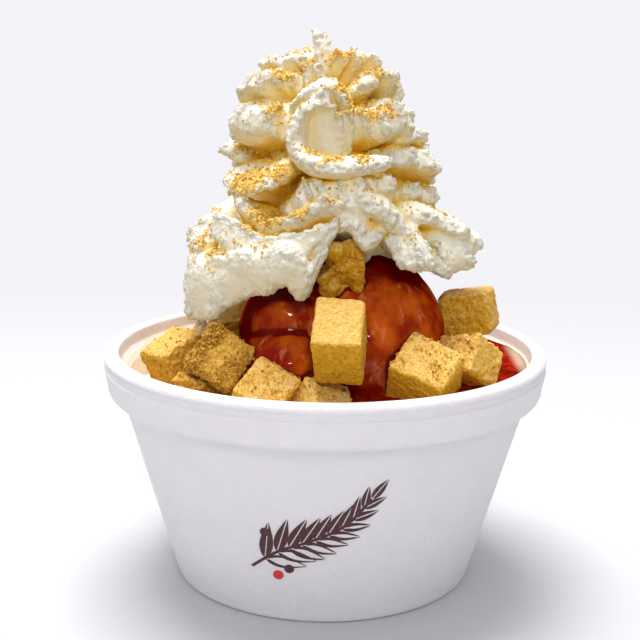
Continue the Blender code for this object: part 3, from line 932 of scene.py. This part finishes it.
def turned(profile, turns):
    """A profile of radius and height, spun about the axis into a closed skin."""
    bm = bmesh.new()
    verts = [bm.verts.new((r, 0, z)) for r, z in profile]
    edges = [bm.edges.new(pair) for pair in zip(verts, verts[1:])]
    bmesh.ops.spin(
        bm,
        geom=verts + edges,
        cent=(0, 0, 0),
        axis=(0, 0, 1),
        angle=math.tau,
        steps=turns,
        use_merge=True,
        use_duplicate=False,
    )
    bmesh.ops.remove_doubles(bm, verts=bm.verts, dist=1e-4)
    bmesh.ops.recalc_face_normals(bm, faces=bm.faces)
    return bm


def make_bowl(foam):
    inside_floor = wall_radius(FLOOR) - WALL
    mouth = MOUTH_RADIUS
    profile = [(0, FLOOR), (inside_floor - FLOOR_ROUND, FLOOR)]
    profile += arc(inside_floor - FLOOR_ROUND + 0.6, FLOOR + FLOOR_ROUND, FLOOR_ROUND, -80, -35, 4)
    profile += inside_line()[:2]
    profile += [(STEP_RADIUS - 0.5, STEP_LOW - 2.6), (STEP_RADIUS - 0.2, STEP_LOW - 2.4)]
    profile += [(STEP_RADIUS, STEP_LOW - 0.2), (STEP_RADIUS + 0.3, STEP_LOW + 0.1)]
    profile += [(STEP_RADIUS + 1.0, 56.3), (STEP_RADIUS + 1.25, 56.75), (STEP_RADIUS + 1.6, 56.9)]
    profile += [(mouth - 0.85, STEP_HIGH - 0.15), (mouth - 0.5, STEP_HIGH + 0.05)]
    profile += [(mouth - 0.4, STEP_HIGH + 0.4), (mouth - 0.15, 59.4)]
    profile += arc(mouth + LIP_ROUND, BOWL_HEIGHT - LIP_ROUND, LIP_ROUND, 180, 90, 6)
    profile += arc(RIM_RADIUS - BEAD_ROUND, BOWL_HEIGHT - BEAD_ROUND, BEAD_ROUND, 90, 0, 8)
    profile += [(RIM_RADIUS - 0.08, 59.4), (RIM_RADIUS - 0.45, 59.15), (RIM_RADIUS - 0.5, 58.95)]
    profile += [(RIM_RADIUS - 0.36, 58.75), (RIM_RADIUS - 0.42, 57.6), (RIM_RADIUS - 0.38, 57.4)]
    profile += [(RIM_RADIUS - 0.08, 57.2), (RIM_RADIUS, 56.95), (RIM_RADIUS - 0.2, 56.3)]
    profile += arc(BAND_BOTTOM_RADIUS - BAND_ROUND, BAND_BOTTOM + BAND_ROUND, BAND_ROUND, 0, -62, 6)
    profile += [(NECK_RADIUS + 1.5, NECK_HEIGHT + 2.9), (NECK_RADIUS + 0.5, NECK_HEIGHT + 1.3)]
    profile += [(wall_radius(z), z) for z in (NECK_HEIGHT, 36, 27, 18, 9, 4)]
    profile += arc(FOOT_RADIUS - FOOT_ROUND + 0.3, FOOT_ROUND, FOOT_ROUND, 0, -90, 5)
    profile += [(FOOT_RADIUS - 4, 0), (0, 0)]
    bowl = placed("foam_bowl", turned(profile, BOWL_TURNS))
    points = points_of(bowl.data)
    reach = np.hypot(points[:, 0], points[:, 1])
    within = np.array([inside_radius(z) + 0.5 for z in points[:, 2]])
    paint(bowl.data, "inside", (reach < within) & (points[:, 2] < BOWL_HEIGHT - 1.0) & (points[:, 2] > 1.0))
    return finished(bowl, foam, "foam", "bowl")


def sauce_height(x, y):
    rise = SAUCE_FRONT_RISE * max(0.0, -y) / MOUTH_RADIUS
    lump = SAUCE_LUMP * noise.noise(Vector((x * 0.09, y * 0.09, 4.0)))
    return SAUCE_LEVEL + SAUCE_SLOPE * x + rise + lump


def make_sauce(red, food):
    """The pool, out to the wall and down to the floor, climbing a little where it meets the food."""
    edge = inside_radius(SAUCE_LEVEL) - SAUCE_CLEAR
    profile = [(edge * k / SAUCE_RINGS, SAUCE_LEVEL) for k in range(SAUCE_RINGS + 1)]
    profile += [(inside_radius(z) - SAUCE_CLEAR, z) for z in (SAUCE_SHOULDER, *SAUCE_SIDE)]
    profile += [(inside_radius(SAUCE_SIDE[-1]) - FLOOR_ROUND, FLOOR + 0.3), (0, FLOOR + 0.3)]
    bm = turned(profile, SAUCE_TURNS)
    for vert in bm.verts:
        if vert.co.z < SAUCE_SHOULDER - 1:
            continue
        x, y = vert.co.xy
        height = sauce_height(x, y)
        if vert.co.z < SAUCE_LEVEL - 1:
            vert.co.z = min(STEP_LOW, height - 1)
            out = (inside_radius(vert.co.z) - SAUCE_CLEAR) / math.hypot(x, y)
            vert.co.x *= out
            vert.co.y *= out
            continue
        ripple = 0.4 * noise.noise(Vector((x * 0.13, y * 0.13, 9.0)))
        near = food.find_nearest(Vector((x, y, height)), 12.0)[3]
        climb = CLIMB * math.exp(-near / CLIMB_REACH) if near is not None else 0.0
        vert.co.z = height + climb + ripple
        reach = math.hypot(x, y)
        if reach > edge - 0.3:
            out = (inside_radius(vert.co.z) - SAUCE_CLEAR) / reach
            vert.co.x *= out
            vert.co.y *= out
    return finished(placed("sauce_pool", bm), red, "sauce", "strawberry_sauce")


def make_scoops(glaze, cover):
    """The scoops, with soft ridges, and marked with painted shade where grooves and what lies on them shade them."""
    scoops = []
    for seed, (name, balls) in enumerate(SCOOPS.items()):
        bm = bmesh.new()
        for centre, radius in balls:
            place = Matrix.Translation(centre)
            bmesh.ops.create_icosphere(bm, subdivisions=5, radius=radius, matrix=place)
        scoop = fused("glazed_" + name, bm, SCOOP_VOXEL, SCOOP_EASE)
        mesh = scoop.data
        points = points_of(mesh)
        tilted = points @ np.array(Euler((0.3, 0.6, 0.2)).to_matrix())
        waves = lumps(tilted * (1.0, 1.0, 0.35), 7.0, seed + 1)
        ridges = 1 - np.abs(lumps(tilted * (1.0, 1.0, 0.25), 5.0, seed + 5)) * 2
        dents = lumps(points, 2.4, seed + 9)
        height = 0.7 * waves + 0.25 * ridges + 0.06 * dents - 0.1
        move_points(mesh, points + normals_of(mesh) * height[:, None])
        points = points_of(mesh)
        # Painted shade: how much the cream and cake shut each point in, added to how deep it lies in a groove.
        shade = eased(mesh, shade_of(points, normals_of(mesh), cover, 6, 16.0, seed), 12)
        groove = np.clip(hollowness(mesh, 60) * 2.2, 0, 1)
        paint(mesh, "hollow", np.clip(groove + soft_step(shade, 0.45, 0.95), 0, 1))
        scoops.append(finished(scoop, glaze, "glazed_ice_cream", name))
    return scoops


def soft_shift(place):
    """A shift of up to 1 along each axis that changes softly from place to place."""
    return Vector([noise.noise(place + Vector(apart)) for apart in ((11.3, 0, 0), (0, 17.9, 0), (0, 0, 23.7))])


def cake_cube(number, centre, turn, sides, ragged, coats, cake):
    """A cut cube of cake with soft, uneven corners and a crumbly skin."""
    bm = bmesh.new()
    bmesh.ops.create_cube(bm, size=2.0)
    bmesh.ops.subdivide_edges(bm, edges=bm.edges[:], cuts=CUBE_CUTS, use_grid_fill=True)
    cube = placed(f"cake_cube_{number:02d}", bm)
    mesh = cube.data
    unit = points_of(mesh)
    half = np.array(sides) / 2
    round_by = CUBE_ROUND + 0.6 * ragged
    inner = np.clip(unit * half, round_by - half, half - round_by)
    out = unit * half - inner
    out /= np.linalg.norm(out, axis=1)[:, None]
    spots = inner + out * round_by
    for corner in itertools.product((-1, 1), repeat=3):
        uneven = soft_shift(Vector(corner) * 1.55 + Vector((number * 1.7, 0, 0))) * CUBE_UNEVEN
        spots += np.prod(0.5 * (1 + unit * corner), axis=1)[:, None] * np.array(uneven)
    turned_by = np.array(Euler([math.radians(a) for a in turn]).to_matrix())
    facing = (out @ turned_by.T)[:, 2]
    up = soft_step(facing, 0.2, 0.7)
    coat = coats[1] + (coats[0] - coats[1]) * up
    coat = np.clip(coat * (0.8 + 0.7 * lumps(spots, 4.0, number)), 0, 1)
    edge = soft_step(1 - np.abs(out).max(axis=1), 0.03, 0.25)
    chips = np.minimum(0, lumps(spots, 2.2, number + 40) + 0.1) * (0.5 + ragged) * (0.25 + edge)
    height = lumps(spots, 5.0, number + 20) * (0.06 + 1.2 * ragged * ragged)
    height += lumps(spots, 1.7, number + 60) * (0.06 + 0.4 * ragged) + 1.1 * chips
    height += lumps(spots, 0.9, number + 80) * 0.20
    height += (froth(spots, 1.1, number) - 0.6) * 0.95 * coat
    spots += out * height[:, None]
    move_points(mesh, spots @ turned_by.T + np.array(centre))
    paint(mesh, "coat", coat)
    # Painted shade and browner cake: each cube's brown share from the table.
    paint(mesh, "brown_and_shade", np.full(len(up), BROWN_AND_SHADED_CUBES.get(number, 0.15)))
    return finished(cube, cake, "cheesecake", f"cheesecake_cube_{number:02d}")


def on_swirl(angle, radius, height):
    turn = math.radians(angle)
    return Vector((radius * math.cos(turn), radius * math.sin(turn), height))


def unwrapped(places):
    """The places with each angle moved by whole turns to follow the one before it."""
    rows = [list(places[0])]
    for angle, radius, height in places[1:]:
        angle += 360 * round((rows[-1][0] - angle) / 360)
        rows.append([angle, radius, height])
    return rows


def behind(place):
    """The same place on the swirl's back."""
    angle, radius, height = place
    angle += BACK_TURN
    backwards = max(0.0, math.sin(math.radians(angle)))
    return angle, radius * (BACK_SIDE_REACH + (BACK_REACH - BACK_SIDE_REACH) * backwards), height


def sphere_points(whole, around, along):
    """The points of a new ball, each with its run from end to end and its place in the section.
    The ball joins the whole once its points are moved."""
    ball = bmesh.new()
    bmesh.ops.create_uvsphere(ball, u_segments=around, v_segments=along, radius=1.0)
    for vert in ball.verts:
        x, y, z = vert.co
        run = 0.5 + math.asin(max(-1.0, min(1.0, z))) / math.pi
        fullness = math.sqrt(max(0.0, 1.0 - z * z))
        unit = (x / fullness, y / fullness) if fullness > 1e-6 else (0.0, 0.0)
        yield vert, run, fullness, unit
    join(whole, ball)


def heading(rows, run, step):
    """The way a path through the rows runs, from a little behind a place on it to a little ahead."""
    ahead = on_swirl(*smooth_table(rows, min(1.0, run + step)))
    return ahead - on_swirl(*smooth_table(rows, max(0.0, run - step)))


def add_fold(bm, crest, depth, lift, root_thick, crest_thick, bow, seed):
    """A leaf of cream from a root inside the swirl out to its ragged crest."""
    rows = unwrapped(crest)
    for vert, run, fullness, (x, y) in sphere_points(bm, *FOLD_BALL):
        blunt = fullness**FOLD_END
        reach = min(1.0, 0.5 * (x + 1.0) * blunt)
        angle, radius, height = smooth_table(rows, run)
        root = on_swirl(angle, max(radius - depth, 1.0), height + lift)
        out = on_swirl(angle, radius, height) - root
        across = out.cross(heading(rows, run, 0.02)).normalized()
        half = 0.5 * (crest_thick + (root_thick - crest_thick) * (1 - reach) ** THINNING) * blunt
        side = math.copysign(math.sqrt(abs(y)), y) * half
        wander = RIPPLE * noise.noise(Vector((angle * 0.16, seed * 3.7, height * 0.1))) * reach**3
        wander += FRILL * noise.noise(Vector((angle * FRILL_PACE, seed * 2.9, height * 0.4))) * reach**4
        sway = RIPPLE * noise.noise(Vector((seed * 5.1, angle * 0.1, 0))) * reach
        sway += 0.5 * FRILL * noise.noise(Vector((seed * 4.3, angle * 0.4, 7))) * reach**2
        arch = bow * 4 * reach * (1 - reach)
        vert.co = root + out * reach + out.normalized() * wander + across * (side + arch + sway)


def add_ribbon(bm, path, widths, thicknesses):
    """A band of cream on edge: its width runs towards the axis, its narrow edge shows."""
    rows = unwrapped(path)
    for vert, run, fullness, (x, y) in sphere_points(bm, *RIBBON_BALL):
        middle = on_swirl(*smooth_table(rows, run))
        along = heading(rows, run, 0.01).normalized()
        outward = Vector((middle.x, middle.y, 0))
        outward = (outward - along * outward.dot(along)).normalized()
        side = along.cross(outward)
        blunt = fullness**RIBBON_END
        width = 0.5 * blunt * smooth_table([[w] for w in widths], run)[0]
        thickness = 0.5 * blunt * smooth_table([[w] for w in thicknesses], run)[0]
        vert.co = middle + outward * (x - 1) * width + side * y * thickness


def add_core(bm):
    low, high = CORE[0][0], CORE[-1][0]
    for vert, run, fullness, (x, y) in sphere_points(bm, *CORE_BALL):
        height = low + (high - low) * run
        for (z0, r0, back0), (z1, r1, back1) in zip(CORE, CORE[1:]):
            if z0 <= height <= z1:
                part = (height - z0) / (z1 - z0)
                radius = r0 + (r1 - r0) * part
                back = back0 + (back1 - back0) * part
        radius *= min(1.0, fullness * CORE_FULL)
        vert.co = Vector((x * radius, y * radius + back, height))


def fused_cream():
    """The upper tiers with the curl and the peak, the middle tiers with the core, and the skirt."""
    tiers = {"cream_upper": bmesh.new(), "cream_lower": bmesh.new(), "cream_skirt": bmesh.new()}
    tier_of = {fold: tier for tier, folds in TIERS.items() for fold in folds}
    add_core(tiers["cream_lower"])
    for seed, (name, (crest, form)) in enumerate(FOLDS.items()):
        bm = tiers[tier_of.get(name, "cream_lower")]
        add_fold(bm, crest, *form, seed)
        if name not in FRONT_ONLY:
            add_fold(bm, [behind(place) for place in crest], *form, seed + BACK_SEED)
    for path, widths, thicknesses in RIBBONS.values():
        add_ribbon(tiers["cream_upper"], path, widths, thicknesses)
    return [fused(name, bm, CREAM_VOXEL, CREAM_EASE) for name, bm in tiers.items()]


def make_cream(white):
    """The tiers of cream, rough along their crests, and marked with what their finish needs: the crests, painted shade
    where the cream shuts a point in, and crumb dust.
    """
    tiers = fused_cream()
    for cream in tiers:
        mesh = cream.data
        points = points_of(mesh)
        normals = normals_of(mesh)
        crest = soft_step(-hollowness(mesh, 60), -0.05, 0.60)
        up = soft_step(normals[:, 2], -0.5, 0.6)
        low = 1 - soft_step(points[:, 2], 80, 96)
        rough = np.clip(crest * (0.45 + 0.55 * up) + 0.04 * low, 0, 1)
        rough *= 1 - 0.5 * soft_step(points[:, 2], 130, 138)
        height = 0.80 * lumps(points, 3.2, 1) * (0.20 + 0.80 * rough)
        height += 1.3 * (froth(points, 1.9, 2) - 0.55) * rough
        height += 0.80 * lumps(points, 1.05, 3) * (0.10 + 0.90 * rough)
        move_points(mesh, points + normals * height[:, None])
        paint(mesh, "crest", rough)
    tree = tree_of(*tiers)
    for cream in tiers:
        mesh = cream.data
        points = points_of(mesh)
        normals = normals_of(mesh)
        # Painted shade: the share of rays from each point that the cream stops, which the finish turns to yellow and
        # gold.
        depth = eased(mesh, shade_of(points, normals, tree, 8, 20.0, 4), 10)
        paint(mesh, "depth", depth)
        clumps = soft_step(lumps(points, 7.0, 8) + 0.5 * lumps(points, 2.5, 9), -0.10, 0.45)
        top = soft_step(points[:, 2], 75, 125)
        sky = soft_step(eased(mesh, normals, 12)[:, 2], 0.10, 0.70)
        nook = soft_step(hollowness(mesh, 200), -0.6, 1.2)
        caught = sky * (0.15 + 0.85 * clumps) * (0.40 + 0.60 * top) * (0.35 + 1.3 * nook)
        caught *= 1 - soft_step(depth, 0.80, 1.0)
        heaped = np.zeros(len(points))
        for middle, reach in HEAPS:
            away = np.linalg.norm(points - middle, axis=1) / reach
            heaped = np.maximum(heaped, np.exp(-0.8 * away**2))
        lying = soft_step(normals[:, 2], -0.25, 0.45)
        caught = np.maximum(caught * 0.8, soft_step(heaped + 0.35 * clumps, 0.35, 1.15) * lying)
        paint(mesh, "dust", np.clip(eased(mesh, caught, 3), 0, 1))
        finished(cream, white, "whipped_cream", "whipped_cream")
    return tiers


def make_dollop(white):
    """The small blob of cream that fell on a cube at the left."""
    centre, radius = DOLLOP
    bm = bmesh.new()
    bmesh.ops.create_icosphere(bm, subdivisions=5, radius=radius, matrix=Matrix.Translation(centre))
    for vert in bm.verts:
        out = (vert.co - Vector(centre)).normalized()
        vert.co += out * (0.9 * noise.noise(vert.co / 2.0) + 0.35 * noise.noise(vert.co / 0.8))
    dollop = placed("cream_dollop", bm)
    count = len(dollop.data.vertices)
    paint(dollop.data, "crest", np.full(count, 1.0))
    # Painted shade: the blob is marked as partly shut in, so the finish gives it the cream's yellow shade.
    paint(dollop.data, "depth", np.full(count, 0.45))
    paint(dollop.data, "dust", np.full(count, 0.05))
    return finished(dollop, white, "whipped_cream")


def scatter(name, surfaces, weight, count, sizes, seed, crumb):
    """Crumbs of mixed sizes on the surfaces, where the weight at their points is high."""
    draw = np.random.default_rng(seed)
    corners, shares, outs = [], [], []
    for obj in surfaces:
        mesh = obj.data
        mesh.calc_loop_triangles()
        index = np.empty(len(mesh.loop_triangles) * 3, np.int32)
        mesh.loop_triangles.foreach_get("vertices", index)
        index = index.reshape(-1, 3)
        where = points_of(mesh)[index]
        cross = np.cross(where[:, 1] - where[:, 0], where[:, 2] - where[:, 0])
        area = np.linalg.norm(cross, axis=1)
        corners.append(where)
        outs.append(cross / np.maximum(area, 1e-9)[:, None])
        shares.append(area * weight(obj)[index].mean(1))
    corners, shares, outs = (np.concatenate(rows) for rows in (corners, shares, outs))
    picks = draw.choice(len(corners), count, p=shares / shares.sum())
    whole = bmesh.new()
    batch = bmesh.new()
    for number, pick in enumerate(picks, 1):
        a, b = np.sort(draw.random(2))
        spot = corners[pick].T @ (a, b - a, 1 - b)
        small, large = sizes
        size = small + (large - small) * draw.random() ** 2.2
        stretch = Matrix.Diagonal((*(size * (0.7 + 0.6 * draw.random(3))), 1.0))
        turn = Euler(draw.random(3) * math.tau).to_matrix().to_4x4()
        rest = Vector(spot + outs[pick] * size * 0.22)
        place = Matrix.Translation(rest) @ turn @ stretch
        bmesh.ops.create_icosphere(batch, subdivisions=1, radius=0.5, matrix=place)
        if number % 200 == 0 or number == count:
            part = bpy.data.meshes.new("batch")
            batch.to_mesh(part)
            whole.from_mesh(part)
            bpy.data.meshes.remove(part)
            batch.clear()
    batch.free()
    crumbs = placed(name, whole)
    finished(crumbs, crumb, None)
    crumbs.data.shade_flat()
    return crumbs


def leaf_outline(length, width, points):
    """Half a leaf's outline, from its stalk to its tip and back along the middle rib."""
    side = []
    for k in range(points + 1):
        t = k / points
        side.append((length * t, width * math.sin(math.pi * t**0.8) * (1 - 0.25 * t)))
    return side


def add_flat(bm, outline, thick):
    """A flat shape with this outline and thickness, lying in the XY plane."""
    face = bm.faces.new([bm.verts.new((x, y, 0)) for x, y in outline])
    grown = bmesh.ops.extrude_face_region(bm, geom=[face])
    risen = [item for item in grown["geom"] if isinstance(item, bmesh.types.BMVert)]
    bmesh.ops.translate(bm, verts=risen, vec=(0, 0, thick))
    return list({vert for vert in bm.verts if vert.is_valid})


def make_print(ink, red):
    """A sprig of leaves and berries printed on the bowl's front."""
    stem = [[-15.0, -9.0], [-8.0, -3.5], [0.0, 0.0], [8.0, 4.5], [14.0, 11.5]]
    leaves = []
    for k in range(9):
        run = 0.14 + 0.095 * k
        x, y = smooth_table(stem, run)
        ahead = smooth_table(stem, min(1.0, run + 0.02))
        along = math.degrees(math.atan2(ahead[1] - y, ahead[0] - x))
        swing = 46 - 2.5 * k
        size = 10.5 - 0.55 * k
        for side in (-1, 1):
            leaves.append((x, y, along + side * swing, size))
    x, y = stem[-1]
    leaves.append((x, y, 52, 6.5))
    flat = bmesh.new()
    for x, y, angle, size in leaves:
        for half in (-1, 1):
            rim = [(u, half * (0.14 + v)) for u, v in leaf_outline(size, size * 0.17, 14)]
            rib = [(size, half * 0.14), (0.3, half * 0.14)]
            part = bmesh.new()
            add_flat(part, rim[1:-1] + rib[:1] + rib[1:], 0.12)
            place = Matrix.Translation((x, y, 0)) @ Matrix.Rotation(math.radians(angle), 4, "Z")
            bmesh.ops.transform(part, matrix=place, verts=part.verts)
            join(flat, part)
    runs = [smooth_table(stem, k / 24) for k in range(25)]
    left = [(x - 0.28, y + 0.28) for x, y in runs]
    right = [(x + 0.28, y - 0.28) for x, y in reversed(runs)]
    part = bmesh.new()
    add_flat(part, left + right, 0.12)
    join(flat, part)
    for x, y in ((-11.5, 1.5), (-5.5, -8.5)):
        add_berry(flat, x, y, 1.25)
    wrap_on_wall(flat)
    sprig = finished(placed("printed_sprig", flat), ink, None)
    sprig.data.shade_flat()
    dot = bmesh.new()
    add_berry(dot, -8.2, -10.6, 1.35)
    wrap_on_wall(dot)
    berry = finished(placed("printed_berry", dot), red, None)
    berry.data.shade_flat()
    return sprig, berry


def join(whole, part):
    mesh = bpy.data.meshes.new("part")
    bmesh.ops.recalc_face_normals(part, faces=part.faces)
    part.to_mesh(mesh)
    part.free()
    whole.from_mesh(mesh)
    bpy.data.meshes.remove(mesh)


def add_berry(whole, x, y, radius):
    part = bmesh.new()
    outline = [(x + radius * math.cos(k * math.tau / 20), y + radius * math.sin(k * math.tau / 20)) for k in range(20)]
    add_flat(part, outline, 0.12)
    join(whole, part)


PRINT_MIDDLE = (-2.6, 24.5)
# The room is brighter towards this side.
ROOM_BRIGHT_SIDE = (-0.50, -0.05, 0.95)
ROOM_SIDES = 0.38
ROOM_TOP = 0.80
# Wet gloss mirrors the lamps more than the room.
ROOM_IN_GLOSS = 0.25


def wrap_on_wall(bm):
    """Lays a flat print round the front of the bowl's wall."""
    middle_x, middle_z = PRINT_MIDDLE
    bmesh.ops.triangulate(bm, faces=bm.faces[:])
    for vert in bm.verts:
        x, y, rise = vert.co
        height = middle_z + y
        radius = wall_radius(height)
        turn = -math.pi / 2 + (middle_x + x) / radius
        out = radius + rise - 0.04
        vert.co = Vector((out * math.cos(turn), out * math.sin(turn), height))


def make_camera():
    lens = bpy.data.cameras.new("camera")
    camera = bpy.data.objects.new("camera", lens)
    bpy.context.scene.collection.objects.link(camera)
    bpy.context.scene.camera = camera
    lens.sensor_width = 36.0
    lens.lens = CAMERA_LENS
    lens.clip_start = 0.01
    lens.shift_x = CAMERA_SHIFT
    down = math.radians(CAMERA_DOWN)
    roll = math.radians(CAMERA_ROLL)
    ahead = Vector((0, math.cos(down), -math.sin(down)))
    right = Vector((1, 0, 0))
    up = right.cross(ahead)
    rolled_right = right * math.cos(roll) + up * math.sin(roll)
    rolled_up = up * math.cos(roll) - right * math.sin(roll)
    camera.location = (0, -CAMERA_AWAY * MM, CAMERA_HEIGHT * MM)
    camera.rotation_mode = "QUATERNION"
    camera.rotation_quaternion = Matrix((rolled_right, rolled_up, -ahead)).transposed().to_quaternion()


def add_light(name, place, aim, size, power, colour):
    light = bpy.data.lights.new(name, "AREA")
    light.shape = "RECTANGLE"
    light.size, light.size_y = size
    light.energy = power
    light.color = colour
    lamp = bpy.data.objects.new(name, light)
    lamp.location = place
    lamp.rotation_mode = "QUATERNION"
    lamp.rotation_quaternion = (Vector(aim) - Vector(place)).to_track_quat("-Z", "Y")
    bpy.context.scene.collection.objects.link(lamp)


def make_studio(pale):
    """A pale ground that sweeps up behind, a soft box overhead and a bright room."""
    bm = bmesh.new()
    profile = [(-1.6, 0.0), (0.5, 0.0)]
    profile += [(0.5 + 0.5 * math.sin(a), 0.5 - 0.5 * math.cos(a)) for a in np.linspace(0.1, math.pi / 2, 14)]
    profile += [(1.0, 1.8)]
    verts = [bm.verts.new((-1.6, y, z)) for y, z in profile]
    edges = [bm.edges.new(pair) for pair in zip(verts, verts[1:])]
    swept = bmesh.ops.extrude_edge_only(bm, edges=edges)
    moved = [item for item in swept["geom"] if isinstance(item, bmesh.types.BMVert)]
    bmesh.ops.translate(bm, verts=moved, vec=(3.2, 0, 0))
    bmesh.ops.recalc_face_normals(bm, faces=bm.faces)
    mesh = bpy.data.meshes.new("ground")
    bm.to_mesh(mesh)
    bm.free()
    ground = bpy.data.objects.new("ground", mesh)
    bpy.context.scene.collection.objects.link(ground)
    mesh.materials.append(pale)
    mesh.shade_smooth()
    ground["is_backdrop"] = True
    world = bpy.data.worlds.new("bright room")
    world.use_nodes = True
    tree = world.node_tree
    room = tree.nodes["Background"]
    room.inputs["Color"].default_value = (0.97, 0.965, 1.0, 1.0)
    way = tree.nodes.new("ShaderNodeTexCoord")
    height = tree.nodes.new("ShaderNodeVectorMath")
    height.operation = "DOT_PRODUCT"
    height.inputs[1].default_value = ROOM_BRIGHT_SIDE
    brightness = tree.nodes.new("ShaderNodeMapRange")
    brightness.inputs["To Min"].default_value = ROOM_SIDES
    brightness.inputs["To Max"].default_value = ROOM_TOP
    tree.links.new(way.outputs["Generated"], height.inputs[0])
    tree.links.new(height.outputs["Value"], brightness.inputs["Value"])
    ray = tree.nodes.new("ShaderNodeLightPath")
    dimming = tree.nodes.new("ShaderNodeMapRange")
    dimming.inputs["To Min"].default_value = 1.0
    dimming.inputs["To Max"].default_value = ROOM_IN_GLOSS
    strength = tree.nodes.new("ShaderNodeMath")
    strength.operation = "MULTIPLY"
    tree.links.new(ray.outputs["Is Glossy Ray"], dimming.inputs["Value"])
    tree.links.new(brightness.outputs["Result"], strength.inputs[0])
    tree.links.new(dimming.outputs["Result"], strength.inputs[1])
    tree.links.new(strength.outputs["Value"], room.inputs["Strength"])
    bpy.context.scene.world = world
    add_light("soft box", (-0.12, 0.26, 1.28), (0, 0, 0.06), (0.70, 0.70), 21.0, (1.0, 0.985, 0.96))
    add_light("strip", (0.06, -0.95, 0.68), (0, 0, 0.08), (0.22, 0.08), 3.4, (1.0, 1.0, 1.0))
    bpy.context.scene.view_settings.view_transform = "Standard"


make_camera()
make_studio(ground_finish())
cream_white = cream_finish()
gold_crumb = crumb_finish("golden crumb", (0.50, 0.26, 0.03), (0.92, 0.62, 0.14))
brown_crumb = crumb_finish("brown crumb", (0.30, 0.13, 0.008), (0.68, 0.39, 0.045))
cake_gold = cake_finish()
make_bowl(foam_finish())
cream = make_cream(cream_white)
cubes = [cake_cube(number, *cube, cake_gold) for number, cube in enumerate(CUBES, 1)]
scoops = make_scoops(glaze_finish(), tree_of(*cream, *cubes))
make_sauce(sauce_finish(), tree_of(*scoops, *cubes))
make_dollop(cream_white)
scatter("crumbs_on_cream", cream, lambda obj: painted(obj.data, "dust") ** 1.6, 9500, (0.24, 0.95), 21, gold_crumb)
scatter("crumbs_on_cake", cubes, lambda obj: painted(obj.data, "coat") ** 2.2, 6500, (0.25, 0.85), 22, brown_crumb)
make_print(ink_finish(), red_ink_finish())

boxes = {"cad": cad_box, "visual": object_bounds()}
{name: [list(corner) for corner in box] for name, box in boxes.items()}
